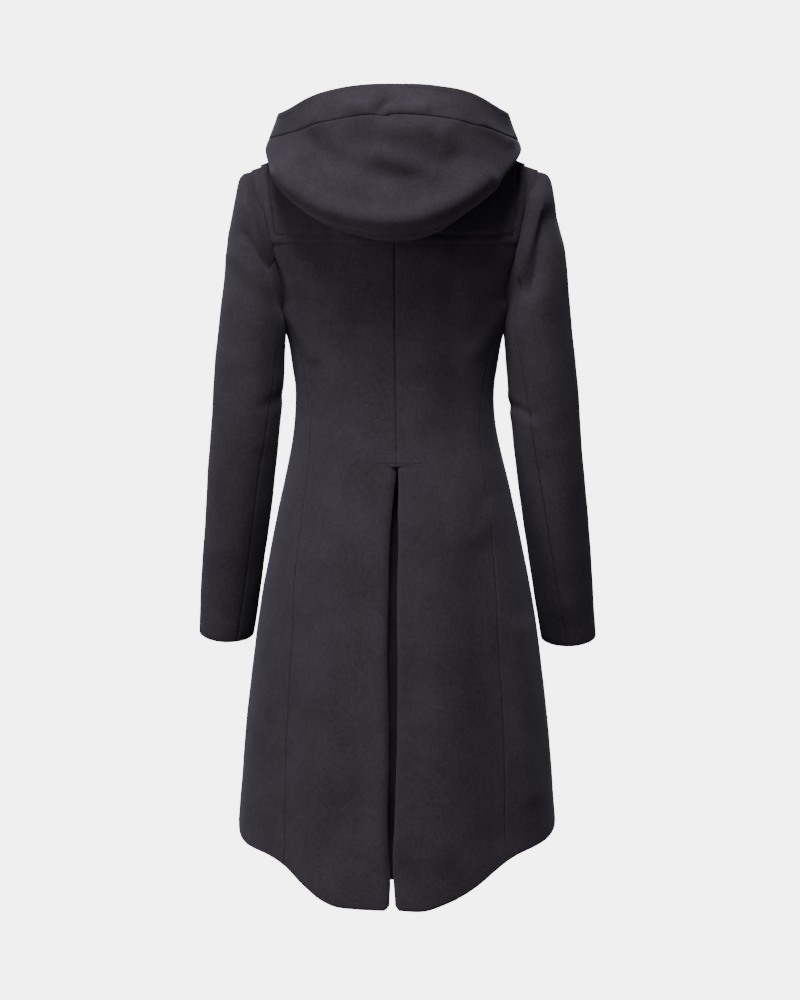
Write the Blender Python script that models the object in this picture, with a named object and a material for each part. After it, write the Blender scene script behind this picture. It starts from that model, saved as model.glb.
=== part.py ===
"""A duffle coat, filled out as if worn, with nobody in it.

Metres, +Z up. The wearer faces +Y, so the back of the coat faces -Y, and +X is the wearer's right.
The origin is the middle of the neck opening, level with the points where the shoulder seams meet it.

Every piece of cloth is a grid of points with a wall behind it. The body, the side panels and the
sleeves are cut from one skin, so that neighbours share their seam and stop a hair short of it.
The yoke, the tab and the fastenings are made from points of that skin, moved out.
"""

import math

import bpy
import numpy as np

CLOTH = 0.0024  # wall of heavy wool
SEAM_GAP = 0.0003  # between two pieces at a seam
LAYER_GAP = 0.0006  # between two layers that lie on each other

# Levels of the body, down from the neck point
UNDERARM = -0.216  # where the side seams meet the armhole
UNDERARM_DIP = 0.022  # how much deeper the armhole is at the side
YOKE_HEM_BACK = -0.142
YOKE_HEM_FRONT = -0.150
PLEAT_TOP = -0.438
LEVEL_SLACK = 0.001  # how far a row may lie above a level and still count as below it
TAB_TOP = -0.4226
TAB_HEIGHT = 0.0190
TAB_WIDTH = 0.0740
UNDERLAY_HEM = -0.997
HEM_SIDE = -0.950  # a level near the hem, where its turn is read

# Neck and shoulder
NECK_HALF = 0.080
NECK_POINT_Y = -0.006
NECK_BACK = 0.068  # centre back of the neck, behind the origin
NECK_BACK_DROP = 0.012
NECK_FRONT = 0.074
NECK_FRONT_DROP = 0.082
SHOULDER_HALF = 0.194
SHOULDER_DROP = 0.040

ARMHOLE_STEP = 0.0010  # how far the sleeve stands off the body under the arm
FRONT_OVERLAP = 0.120  # how far each front passes the middle, as a share of the way to the armhole
FRONT_LAP = CLOTH + 0.0012  # how far the upper front stands off the lower one

# Counts of cells
BACK_COLUMNS = 8
NECK_COLUMNS = 3  # of those, the ones that end at the neck
SIDE_COLUMNS = 6
UPPER_ROWS = 7
# Rows from the hem to the underarm as shares of that height; two of them lie close to the tab
LOWER_SHARES = (0, 0.06, 0.13, 0.21, 0.30, 0.39, 0.48, 0.57, 0.65, 0.7285, 0.7465, 0.80, 0.87, 0.935, 1)
LOWER_ROWS = len(LOWER_SHARES) - 1


def table(columns, *rows):
    """A table as named columns of numbers."""
    return {name: np.array(values, float) for name, values in zip(columns.split(), zip(*rows))}


# Sections of the body, an ellipse with its own depth behind and in front; a square of 2 is a plain ellipse
BODY = table(
    "level half_width back front square",
    (-1.060, 0.2250, 0.214, 0.180, 2.00),
    (-0.918, 0.2130, 0.198, 0.168, 2.00),
    (-0.810, 0.2040, 0.184, 0.158, 2.00),
    (-0.702, 0.1920, 0.168, 0.148, 2.05),
    (-0.594, 0.1760, 0.150, 0.137, 2.10),
    (-0.513, 0.1606, 0.133, 0.127, 2.15),
    (-0.459, 0.1490, 0.118, 0.120, 2.20),
    (-0.405, 0.1390, 0.104, 0.114, 2.20),
    (-0.344, 0.1340, 0.096, 0.112, 2.20),
    (-0.283, 0.1415, 0.099, 0.121, 2.25),
    (-0.216, 0.1500, 0.110, 0.130, 2.30),
    (-0.140, 0.1600, 0.114, 0.126, 2.30),
)

# The seams between the back and the side panel and between that and the front, by their half distance
SIDE_SEAMS = table(
    "level behind before",
    (-1.060, 0.153, 0.165),
    (-0.918, 0.150, 0.163),
    (-0.796, 0.147, 0.158),
    (-0.675, 0.139, 0.150),
    (-0.594, 0.135, 0.144),
    (-0.513, 0.126, 0.135),
    (-0.459, 0.119, 0.127),
    (-0.400, 0.114, 0.120),
    (-0.344, 0.118, 0.119),
    (-0.274, 0.130, 0.128),
    (-0.216, 0.146, 0.146),
)

# The lower edge, by the turn from centre back in degrees: a long curved tail, level from the side on,
# that hangs a little lower on the left, where the turn is negative
HEM = table(
    "turn level",
    (-180, -0.924),
    (-150, -0.922),
    (-110, -0.920),
    (-90, -0.922),
    (-78, -0.934),
    (-66, -0.948),
    (-52, -0.963),
    (-42, -0.981),
    (-33, -1.003),
    (-26, -1.019),
    (-20, -1.028),
    (-12, -1.0315),
    (0, -1.0335),
    (10, -1.034),
    (17, -1.025),
    (22, -1.0165),
    (29, -1.002),
    (38, -0.981),
    (49, -0.962),
    (62, -0.946),
    (75, -0.930),
    (90, -0.920),
    (110, -0.916),
    (150, -0.920),
    (180, -0.924),
)

# Soft flutes of the skirt: where each is, how wide, where it starts and how proud it is at the hem
# The skirt hangs a little wider on the right than on the left, from a level down to another
SPREAD = 0.029
SPREAD_FROM = -0.360
SPREAD_WHOLE = -0.470

FLUTES = table(
    "turn width start rise",
    (24, 10, -0.62, 0.0045),
    (47, 9, -0.56, -0.0050),
    (66, 10, -0.60, 0.0050),
    (88, 9, -0.66, -0.0035),
    (112, 12, -0.62, 0.0045),
    (140, 13, -0.60, -0.0040),
    (163, 12, -0.66, 0.0030),
)

FLUTE_FULL = -1.030  # the level at which the flutes have their whole height

# How the skin rises from the underarm to the top edge: pulls at the lower end and at the upper end
RISE = {
    "back_middle": ((0, -0.012, 0.066), (0, -0.040, -0.043)),
    "back_armhole": ((0.014, -0.029, 0.056), (-0.004, -0.050, -0.037)),
    "front_middle": ((0, -0.004, 0.045), (0, 0.028, -0.036)),
    "front_armhole": ((0.004, 0.024, 0.051), (-0.008, 0.046, -0.042)),
}

# The pleat at the centre back: the slit between its two folds, and how far it wanders off the middle
PLEAT = table(
    "level half_slit middle",
    (-1.040, 0.0066, -0.0015),
    (-0.960, 0.0028, -0.0050),
    (-0.880, 0.0032, -0.0035),
    (-0.780, 0.0045, -0.0020),
    (-0.640, 0.0042, -0.0010),
    (-0.540, 0.0026, 0.0005),
    (-0.470, 0.0010, 0.0015),
    (-0.430, 0.0003, 0.0010),
)
FOLD_RADIUS = 0.0042
FOLD_START = 1.1 * FOLD_RADIUS  # where the flat cloth begins, from the fold's edge
RETURN_WIDTHS = (0.024, 0.052)  # columns of the cloth that is turned under
# Columns of the fold from the far end of the return outwards: distance from the edge, depth in radii
FOLD = (
    (RETURN_WIDTHS[1], 2.0),
    (RETURN_WIDTHS[0], 2.0),
    (FOLD_START, 2.0),
    (0.3 * FOLD_RADIUS, 1.65),
    (0.0, 1.0),
    (0.3 * FOLD_RADIUS, 0.35),
)
UNDERLAY_HALF = 0.055

# Rings of the sleeve below the armhole. Out and in are its edges seen from behind, middle_y its axis,
# depth the half size front to back, lean the rise towards the front, and the last four where the
# seams lie, as a share of the width from the inner edge
SLEEVE = table(
    "out_x out_z in_x in_z middle_y depth lean hind_left hind_right fore",
    (0.2090, -0.0500, 0.1503, -0.2440, -0.002, 0.0630, 0.00, 0.10, 0.12, 0.16),
    (0.2175, -0.0860, 0.1496, -0.2530, -0.004, 0.0660, 0.00, 0.10, 0.14, 0.16),
    (0.2260, -0.1400, 0.1486, -0.2650, -0.006, 0.0670, 0.00, 0.10, 0.16, 0.16),
    (0.2340, -0.2080, 0.1484, -0.2830, -0.008, 0.0650, 0.00, 0.11, 0.18, 0.17),
    (0.2405, -0.2720, 0.1495, -0.3070, -0.008, 0.0620, 0.00, 0.13, 0.21, 0.18),
    (0.2455, -0.3330, 0.1512, -0.3420, -0.007, 0.0590, 0.02, 0.15, 0.25, 0.20),
    (0.2495, -0.3950, 0.1563, -0.3980, -0.003, 0.0570, 0.07, 0.20, 0.30, 0.22),
    (0.2548, -0.4600, 0.1635, -0.4600, 0.006, 0.0550, 0.14, 0.235, 0.34, 0.24),
    (0.2595, -0.5250, 0.1718, -0.5250, 0.018, 0.0530, 0.20, 0.25, 0.38, 0.25),
    (0.2640, -0.5900, 0.1812, -0.5900, 0.033, 0.0500, 0.25, 0.27, 0.41, 0.26),
    (0.2672, -0.6630, 0.1932, -0.6650, 0.051, 0.0470, 0.28, 0.31, 0.47, 0.28),
)
SWAY = {"left": (-0.0027, -0.0020), "right": (0.0055, -0.0075)}  # how far out and down each cuff hangs
ARM_REACH = 0.058  # half the depth of the armhole
LOOP_FADE = (0.75, 0.45, 0.2, 0.06)  # how much of the armhole's own shape the first rings keep

# Sections of the hood, from the left front round the back to the right front: a turn of 0 is the
# centre back. Each goes out and down from the neck to the fold, up over the belly to the seam of the
# edge band and on to the rim; r is the distance from the middle and z the height.
HOOD = table(
    "turn fold_r fold_z belly_r belly_z seam_r seam_z rim_r rim_z",
    (-172, 0.096, -0.086, 0.110, -0.076, 0.113, -0.060, 0.104, -0.034),
    (-140, 0.124, -0.058, 0.138, -0.044, 0.141, -0.026, 0.130, 0.006),
    (-110, 0.154, -0.030, 0.165, -0.020, 0.167, -0.006, 0.152, 0.024),
    (-85, 0.169, -0.021, 0.175, -0.013, 0.171, 0.000, 0.157, 0.035),
    (-60, 0.172, -0.064, 0.184, -0.044, 0.172, 0.005, 0.169, 0.039),
    (-40, 0.166, -0.105, 0.190, -0.074, 0.176, 0.015, 0.160, 0.0600),
    (-20, 0.153, -0.130, 0.188, -0.092, 0.172, 0.026, 0.146, 0.0712),
    (0, 0.144, -0.138, 0.184, -0.100, 0.168, 0.0290, 0.138, 0.0730),
    (20, 0.150, -0.130, 0.184, -0.092, 0.170, 0.026, 0.144, 0.0715),
    (40, 0.160, -0.092, 0.184, -0.066, 0.172, 0.015, 0.158, 0.062),
    (60, 0.169, -0.048, 0.180, -0.034, 0.170, 0.003, 0.166, 0.040),
    (85, 0.166, -0.021, 0.171, -0.012, 0.168, -0.002, 0.152, 0.035),
    (110, 0.152, -0.030, 0.162, -0.020, 0.163, -0.006, 0.148, 0.024),
    (140, 0.122, -0.058, 0.136, -0.044, 0.139, -0.026, 0.128, 0.006),
    (172, 0.096, -0.086, 0.110, -0.076, 0.113, -0.060, 0.104, -0.034),
)
HOOD_TURNS = np.linspace(-172, 172, 27)

# Fastenings of the front, from the top down
TOGGLE_LEVELS = (-0.165, -0.285, -0.405, -0.525)
TOGGLE_LENGTH = 0.052
TOGGLE_RADIUS = 0.0075
CORD_RADIUS = 0.0022
CORD_HALF = 0.0048  # half the distance between the two strands of a loop
PATCH_WIDTH = 0.034
PATCH_HEIGHT = 0.042
LEATHER_THICKNESS = 0.0020
PATCH_START = 0.042  # from the middle to the near edge of a patch


def smooth(x, xs, ys):
    """The value at x of a soft curve through the points, with slopes taken from the neighbours."""
    order = np.argsort(xs)
    xs, ys = np.asarray(xs)[order], np.asarray(ys)[order]
    x = min(max(x, xs[0]), xs[-1])
    slopes = np.gradient(ys, xs)
    i = int(min(max(np.searchsorted(xs, x) - 1, 0), len(xs) - 2))
    span = xs[i + 1] - xs[i]
    t = (x - xs[i]) / span
    from_here = (1 + 2 * t) * (1 - t) ** 2 * ys[i] + t * (1 - t) ** 2 * span * slopes[i]
    from_next = t * t * (3 - 2 * t) * ys[i + 1] - t * t * (1 - t) * span * slopes[i + 1]
    return float(from_here + from_next)


def look(rows, key, x, by="level"):
    return smooth(x, rows[by], rows[key])


def mix(a, b, t):
    return np.asarray(a, float) * (1 - t) + np.asarray(b, float) * t


def flute(turn, level):
    """How far the skirt stands out of its plain section."""
    rise = 0.0
    for at, width, start, height in zip(*(FLUTES[k] for k in ("turn", "width", "start", "rise"))):
        grown = max(0.0, (start - level) / (start - FLUTE_FULL))
        away = (math.degrees(abs(turn)) - at) / width
        rise += height * grown * math.exp(-away * away)
    return rise


def section(turn, level):
    """A point of the body's section at a level; turn is 0 at the centre back and pi at the centre front."""
    half = look(BODY, "half_width", level)
    depth = look(BODY, "back" if math.cos(turn) > 0 else "front", level)
    power = 2 / look(BODY, "square", level)
    sine, cosine = math.sin(turn), math.cos(turn)
    x = half * math.copysign(abs(sine) ** power, sine)
    y = -depth * math.copysign(abs(cosine) ** power, cosine)
    out = 1 + flute(turn, level) / math.hypot(x, y)
    return np.array([x * out, y * out, level])


def turn_at(x, level):
    """The turn behind at which the section is this far from the middle."""
    half = look(BODY, "half_width", level)
    share = min(1.0, abs(x) / half) ** (look(BODY, "square", level) / 2)
    return math.copysign(math.asin(share), x)


def seam_turns(level):
    behind = turn_at(look(SIDE_SEAMS, "behind", level), level)
    before = math.pi - turn_at(look(SIDE_SEAMS, "before", level), level)
    return behind, before


def hem_level(turn):
    return look(HEM, "level", math.degrees(turn), by="turn")


def wider(level, right):
    """How many times wider the body hangs at this level than its plain section."""
    below = min(1.0, max(0.0, (SPREAD_FROM - level) / (SPREAD_FROM - SPREAD_WHOLE)))
    return 1 + SPREAD * below * below * (3 - 2 * below) if right else 1.0


def skirt_point(turn_of_level, row, top, sign):
    """A point of a column that runs from the hem up to the level top, at this row."""
    bottom = hem_level(sign * turn_of_level(HEM_SIDE))
    level = bottom + (top - bottom) * LOWER_SHARES[row]
    return section(turn_of_level(level), level) * [wider(level, sign > 0), 1, 1]


def top_edge(share, front):
    """The neckline and then the shoulder seam, from the middle (0) to the armhole (1)."""
    at_neck = NECK_COLUMNS / BACK_COLUMNS
    if abs(share) <= at_neck:
        round_neck = math.pi / 2 * share / at_neck
        depth = NECK_FRONT - NECK_POINT_Y if front else -(NECK_BACK + NECK_POINT_Y)
        drop = NECK_FRONT_DROP if front else NECK_BACK_DROP
        x = NECK_HALF * math.sin(round_neck)
        return np.array([x, NECK_POINT_Y + depth * math.cos(round_neck), -drop * math.cos(round_neck) ** 1.3])
    along = (abs(share) - at_neck) / (1 - at_neck)
    point = mix([NECK_HALF, NECK_POINT_Y, 0], [SHOULDER_HALF, 0, -SHOULDER_DROP], along)
    return point * [math.copysign(1, share), 1, 1]


def rising_point(share, row, front):
    """A point of the skin between the underarm level and the neckline or shoulder seam."""
    behind, before = seam_turns(UNDERARM)
    turn = math.pi + (before - math.pi) * share if front else behind * share
    low, high = section(turn, UNDERARM), top_edge(share, front)
    side = "front" if front else "back"
    pulls = [
        mix(RISE[side + "_middle"][i], RISE[side + "_armhole"][i], abs(share)) * [math.copysign(1, share), 1, 1]
        for i in (0, 1)
    ]
    t = row / UPPER_ROWS
    return (
        (1 - t) ** 3 * low
        + 3 * t * (1 - t) ** 2 * (low + pulls[0])
        + 3 * t * t * (1 - t) * (high + pulls[1])
        + t**3 * high
    )


def lap(share):
    """How far the upper front is moved out, so that it clears the lower one."""
    return FRONT_LAP * min(1.0, max(0.0, NECK_COLUMNS - 1 - BACK_COLUMNS * share))


def column_shares(front):
    shares = [i / BACK_COLUMNS for i in range(BACK_COLUMNS + 1)]
    if front:
        shares = [-FRONT_OVERLAP] + shares
    return shares


def body_grid(front, sign):
    """The back or the front of one half, from the hem (row 0) to the top edge, drawn on the right."""
    rows = []
    shares = column_shares(front)
    for row in range(LOWER_ROWS + UPPER_ROWS + 1):
        points = []
        for share in shares:
            if row > LOWER_ROWS:
                points.append(rising_point(share, row - LOWER_ROWS, front))
                continue

            def turn_of(level, share=share):
                behind, before = seam_turns(level)
                return math.pi + (before - math.pi) * share if front else behind * share

            points.append(skirt_point(turn_of, row, UNDERARM, sign))
        rows.append(points)
    return np.array(rows)


def side_grid(sign):
    """The side panel of one half, up to the bottom of the armhole, drawn on the right."""
    rows = []
    for row in range(LOWER_ROWS + 1):
        points = []
        for column in range(SIDE_COLUMNS + 1):
            share = column / SIDE_COLUMNS

            def turn_of(level, share=share):
                behind, before = seam_turns(min(level, UNDERARM))
                return behind + (before - behind) * share

            top = UNDERARM - UNDERARM_DIP * math.sin(math.pi * share)
            points.append(skirt_point(turn_of, row, top, sign))
        rows.append(points)
    return np.array(rows)


def armhole_loop(back, side, front):
    """The armhole's points from the shoulder seam down behind, under the arm and up in front."""
    return np.concatenate([back[: LOWER_ROWS - 1 : -1, -1], side[-1, 1:-1], front[LOWER_ROWS:, -1]])


HIND_START = UPPER_ROWS - 2  # the loop's points where the sleeve's seams start
FORE_START = UPPER_ROWS + SIDE_COLUMNS + 2


def sleeve_grid(loop, half):
    """The whole sleeve, a row for each ring from the armhole to the cuff, a column for each loop point."""
    loop = loop[:-1]  # its last point, on the shoulder seam, is the first one again
    count = len(loop)
    top, bottom = loop[0], loop[UPPER_ROWS + SIDE_COLUMNS // 2]
    middle, reach = (top + bottom) / 2, np.linalg.norm(top - bottom) / 2
    along = ((loop - middle) @ (top - bottom)) / (2 * reach * reach)
    across = -(loop[:, 1] - middle[1]) / ARM_REACH
    angles = np.unwrap(np.arctan2(across, along))
    angles -= angles[0]
    angles = np.append(angles, 2 * math.pi)
    under = np.clip(0.5 - along / 2, 0, 1)
    rings = [loop + np.outer(under, [ARMHOLE_STEP, 0, 0])]
    for ring in range(len(SLEEVE["out_x"])):
        size = {name: values[ring] for name, values in SLEEVE.items()}
        out = np.array([size["out_x"], size["middle_y"], size["out_z"]])
        inner = np.array([size["in_x"], size["middle_y"], size["in_z"]])
        hind_angle = math.acos(2 * size["hind_" + half] - 1)
        fore_angle = 2 * math.pi - math.acos(2 * size["fore"] - 1)
        kept = LOOP_FADE[ring] if ring < len(LOOP_FADE) else 0.0
        down = (ring / (len(SLEEVE["out_x"]) - 1)) ** 2
        swung = np.array([SWAY[half][0] * down, 0, SWAY[half][1] * down])
        known = [0, HIND_START, FORE_START, count]
        eased = np.interp(range(count), known, [0, hind_angle, fore_angle, 2 * math.pi])
        turned = angles[:count] * kept + eased * (1 - kept)
        points = []
        for j, angle in enumerate(turned):
            point = mix(inner, out, 0.5 + 0.5 * math.cos(angle))
            back = size["depth"] * math.sin(angle)
            points.append(point + [0, -back, -back * size["lean"]] + swung)
        rings.append(np.array(points))
    rings = np.array(rings)
    return np.concatenate([rings, rings[:, :1]], axis=1)


def pleat_columns(back, side_sign):
    """Gives the back its slit edge and the columns turned under, from the pleat's top down."""
    rows = []
    for row, points in enumerate(back):
        level = points[0][2]
        if row > LOWER_ROWS or level > PLEAT_TOP + LEVEL_SLACK:
            rows.append([None] * len(FOLD) + list(points))
            continue
        edge = look(PLEAT, "half_slit", level) + side_sign * look(PLEAT, "middle", level)
        turned = [skin_at(edge + x, level) + [0, deep * FOLD_RADIUS, 0] for x, deep in FOLD]
        rows.append(turned + [skin_at(edge + FOLD_START, level)] + list(points[1:]))
    return rows


def skin_at(x, level):
    """The back's skin this far from the middle, at this level."""
    return section(turn_at(x, level), level)


def cells_of(grid):
    """The cells of a grid whose four corners are all there."""
    return [
        ((r, c), (r, c + 1), (r + 1, c + 1), (r + 1, c))
        for r in range(len(grid) - 1)
        for c in range(len(grid[0]) - 1)
        if all(grid[i][j] is not None for i, j in ((r, c), (r, c + 1), (r + 1, c + 1), (r + 1, c)))
    ]


def joined(*grids):
    """Points, faces and welded normals of several grids; a grid is (rows of points, flipped)."""
    index, points, faces = {}, [], []
    for grid, flipped in grids:
        for cell in cells_of(grid):
            face = []
            for r, c in cell:
                point = np.array(grid[r][c], float)
                key = tuple(np.round(point, 6) + 0.0)
                if key not in index:
                    index[key] = len(points)
                    points.append(point)
                face.append(index[key])
            faces.append(face[::-1] if flipped else face)
    points = np.array(points)
    normals = np.zeros_like(points)
    for face in faces:
        a, b, c, d = points[face]
        turned = np.cross(c - a, d - b)
        turned /= np.linalg.norm(turned) + 1e-12
        normals[face] += turned
    normals /= np.linalg.norm(normals, axis=1)[:, None] + 1e-12
    return {"points": points, "faces": faces, "normals": normals, "index": index}


def material(name, color, roughness, metallic=0.0):
    made = bpy.data.materials.new(name)
    made.use_nodes = True
    shader = made.node_tree.nodes["Principled BSDF"]
    shader.inputs["Base Color"].default_value = (*color, 1)
    shader.inputs["Roughness"].default_value = roughness
    shader.inputs["Metallic"].default_value = metallic
    return made


def rim_of(faces):
    """Directed edges that only one face has."""
    ends = [(f[i], f[(i + 1) % len(f)]) for f in faces for i in range(len(f))]
    have = set(ends)
    return [(a, b) for a, b in ends if (b, a) not in have]


def wall(name, grids, skin=None, lift=0.0, thickness=CLOTH, trim=SEAM_GAP / 2, finish=None):
    """A sheet as a closed wall behind its grids, trimmed at every edge."""
    own = joined(*grids)
    points, faces = own["points"], own["faces"]
    normals = own["normals"]
    if skin:
        for i, point in enumerate(points):
            shared = skin["index"].get(tuple(np.round(point, 6) + 0.0))
            if shared is not None:
                normals[i] = skin["normals"][shared]
    inward = [[] for _ in points]
    edges = rim_of(faces)
    for a, b in edges:
        across = np.cross((normals[a] + normals[b]) / 2, points[b] - points[a])
        across /= np.linalg.norm(across)
        inward[a].append(across)
        inward[b].append(across)
    outer = points.copy()
    for i, ways in enumerate(inward):
        if ways:
            total = np.sum(ways, axis=0) / len(ways)
            outer[i] += total * trim / max(0.5, total @ ways[0])
    outer += normals * lift
    inner = outer - normals * thickness
    count = len(points)
    sides = [(b, a, a + count, b + count) for a, b in edges]
    back = [tuple(i + count for i in reversed(f)) for f in faces]
    return solid(name, np.concatenate([outer, inner]), [tuple(f) for f in faces] + back + sides, finish)


def solid(name, points, faces, finish=None):
    mesh = bpy.data.meshes.new(name)
    mesh.from_pydata([tuple(p) for p in points], [], faces)
    mesh.update()
    for polygon in mesh.polygons:
        polygon.use_smooth = True
    mesh.materials.append(finish or WOOL)
    made = bpy.data.objects.new(name, mesh)
    COAT.objects.link(made)
    return made


def mirrored(grid):
    return [[None if p is None else np.array(p) * [-1, 1, 1] for p in row] for row in grid]


def as_rows(grid):
    return [[np.array(p, float) for p in row] for row in grid]


for thing in list(bpy.data.objects):
    bpy.data.objects.remove(thing, do_unlink=True)
COAT = bpy.data.collections.new("duffle_coat")
bpy.context.scene.collection.children.link(COAT)
WOOL = material("wool", (0.020, 0.017, 0.023), 0.95)

HALVES = {}
for half, sign in (("left", -1), ("right", 1)):
    back = body_grid(front=False, sign=sign)
    side = side_grid(sign)
    front = body_grid(front=True, sign=sign)
    if half == "right":
        front[:, :, 1] += [lap(share) for share in column_shares(front=True)]
    loop = armhole_loop(back, side, front)
    sleeve = sleeve_grid(loop, half)
    grids = {
        "back": pleat_columns(back, sign),
        "side": as_rows(side),
        "front": as_rows(front),
        "sleeve": as_rows(sleeve),
    }
    if sign < 0:
        grids = {name: mirrored(grid) for name, grid in grids.items()}
    HALVES[half] = grids

skins = []
for half, grids in HALVES.items():
    flip = half == "left"
    for name, grid in grids.items():
        skins.append((grid if name != "front" else [row[1:] for row in grid], flip != (name == "front")))
SKIN = joined(*skins)


def place_of(point):
    """Where this point is among the skin's welded points."""
    return SKIN["index"][tuple(np.round(np.array(point, float), 6) + 0.0)]


# Along the armhole the two walls lean alike, except under the arm, where they lie back to back
LEAN_ALIKE = 0.2
for grids in HALVES.values():
    back, front = (np.array([row[-2:] for row in grids[name]], float) for name in ("back", "front"))
    side = np.array(grids["side"], float)
    for body_point, sleeve_point in zip(armhole_loop(back, side, front), grids["sleeve"][0]):
        ends = [place_of(body_point), place_of(sleeve_point)]
        leans = SKIN["normals"][ends]
        if ends[0] != ends[1] and leans[0] @ leans[1] > LEAN_ALIKE:
            SKIN["normals"][ends] = (leans[0] + leans[1]) / np.linalg.norm(leans[0] + leans[1])


def strip(grid, first, last):
    """The columns of a grid from the first to the last."""
    return [row[first : last + 1] for row in grid]


for half, grids in HALVES.items():
    flip = half == "left"
    wall("back_" + half, [(grids["back"], flip)], SKIN)
    wall("side_" + half, [(grids["side"], flip)], SKIN)
    sleeve = grids["sleeve"]
    count = len(sleeve[0]) - 1
    wall("sleeve_under_" + half, [(strip(sleeve, HIND_START, FORE_START), flip)], SKIN)
    top = [row[FORE_START:count] + row[: HIND_START + 1] for row in sleeve]
    wall("sleeve_top_" + half, [(top, flip)], SKIN)
    wall("front_" + half, [(grids["front"], not flip)], SKIN)


# The underlay of the pleat, behind both folds
UNDERLAY_DEPTH = 2 * FOLD_RADIUS + LAYER_GAP
UNDERLAY_COLUMNS = np.linspace(-UNDERLAY_HALF, UNDERLAY_HALF, 5)
HEM_BACK = hem_level(0.0)
underlay = []
for row in range(LOWER_ROWS):
    level = HEM_BACK + (UNDERARM - HEM_BACK) * LOWER_SHARES[row]
    if level > PLEAT_TOP + LEVEL_SLACK:
        break
    level = max(level, UNDERLAY_HEM)
    middle = look(PLEAT, "middle", level)
    underlay.append([skin_at(middle + x, level) + [0, UNDERLAY_DEPTH, 0] for x in UNDERLAY_COLUMNS])
wall("pleat_underlay", [(underlay, False)])

# The stitched tab over the top of the pleat
TAB_THICKNESS = 0.0012
TAB_COLUMNS = np.linspace(-TAB_WIDTH / 2, TAB_WIDTH / 2, 7)
tab = [[skin_at(x, level) for x in TAB_COLUMNS] for level in (TAB_TOP - TAB_HEIGHT, TAB_TOP)]
wall("back_tab", [(tab, False)], lift=TAB_THICKNESS + LAYER_GAP, thickness=TAB_THICKNESS)


def row_at_level(share, level, front):
    """The row, as a number between 0 and UPPER_ROWS, at which a column of the skin passes a level."""
    low, high = 0.0, float(UPPER_ROWS)
    for _ in range(30):
        middle = (low + high) / 2
        if rising_point(share, middle, front)[2] < level:
            low = middle
        else:
            high = middle
    return low


# The yoke lies on the back and the fronts and goes over the shoulders
YOKE_NECK = 0.405  # its neck edge stays this share of the way from the middle
YOKE_SIDE = (0.985, 0.925)  # its side edge at the hem and on the shoulder, as shares of the way
YOKE_ROWS = 5
YOKE_LIFT = CLOTH + 0.0020
YOKE_NECK_ROW = UPPER_ROWS - 0.45


def yoke_grid(front):
    """Half of the yoke behind or in front, from its hem to the shoulder."""
    inner = [YOKE_NECK] if front else [0, 1 / BACK_COLUMNS, 2 / BACK_COLUMNS, YOKE_NECK]
    middle = [i / BACK_COLUMNS for i in range(NECK_COLUMNS + 1, BACK_COLUMNS)]
    rows = []
    for row in range(YOKE_ROWS + 1):
        up = row / YOKE_ROWS
        points = []
        for share in inner + middle + [None]:
            if share is None:
                share = YOKE_SIDE[0] + (YOKE_SIDE[1] - YOKE_SIDE[0]) * up
            hem = row_at_level(share, YOKE_HEM_FRONT if front else YOKE_HEM_BACK, front)
            top = YOKE_NECK_ROW if share < YOKE_NECK else UPPER_ROWS
            points.append(rising_point(share, hem + (top - hem) * up, front))
        rows.append(points)
    return rows


yoke = []
for flip in (True, False):
    for front in (False, True):
        grid = yoke_grid(front)
        yoke.append((mirrored(grid) if flip else grid, flip != front))
wall("yoke", yoke, lift=YOKE_LIFT)


def neck_point(turn):
    """The neckline at this turn, on the straight stretches between the body's columns."""
    front = abs(turn) > 90
    column = NECK_COLUMNS * (180 - abs(turn) if front else abs(turn)) / 90
    low = min(int(column), NECK_COLUMNS - 1)
    ends = [top_edge(c / BACK_COLUMNS, front) for c in (low, low + 1)]
    return mix(ends[0], ends[1], column - low) * [math.copysign(1, turn), 1, 1]


NECK_STEP = 0.0045  # the hood starts this much above the lapped fronts
NECK_SEAM_GAP = 0.0012  # and this much above the neckline
# Corners of the hood's section, as steps out and up
STAND = (0.010, 0.012)  # from the neckline to where it stands highest at the neck
UNDER = (0.011, 0.010)  # from the fold back in to the inner layer
ARCH = (0.002, 0.006)  # of the inner layer half way
ROLL_SHARES = (0.50, 0.28)  # how far out and up the fold's seam is, from the fold to the belly


def hood_section(turn):
    """The corners of the hood's section at this turn, as distances and heights."""
    size = {name: look(HOOD, name, turn, by="turn") for name in HOOD if name != "turn"}
    neck = neck_point(turn)
    ahead = max(0.0, abs(turn) - 90) / 90
    neck_r, neck_z = math.hypot(neck[0], neck[1]), neck[2] + NECK_STEP * min(1.0, 2 * ahead)
    fold_r, fold_z = size["fold_r"], size["fold_z"]
    stand = (neck_r + STAND[0], neck_z + STAND[1])
    under = (fold_r - UNDER[0], fold_z + UNDER[1])
    return [
        (neck_r, neck_z + NECK_SEAM_GAP),
        stand,
        ((stand[0] + under[0]) / 2 + ARCH[0], (stand[1] + under[1]) / 2 + ARCH[1]),
        under,
        (fold_r, fold_z),
        (
            fold_r + (size["belly_r"] - fold_r) * ROLL_SHARES[0],
            fold_z + (size["belly_z"] - fold_z) * ROLL_SHARES[1],
        ),
        (size["belly_r"], size["belly_z"]),
        (size["seam_r"], size["seam_z"]),
        (size["rim_r"], size["rim_z"]),
    ]


FOLD_SEAM, BAND_SEAM, RIM = 5, 7, 8  # places of the hood's seams among its section's corners
HOOD_INNER = (0, 1, 2, 3, 4, FOLD_SEAM)
HOOD_OUTER = (FOLD_SEAM, 5.5, 6, 6.5, BAND_SEAM)
HOOD_BAND = (BAND_SEAM, 7.5, RIM)


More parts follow.
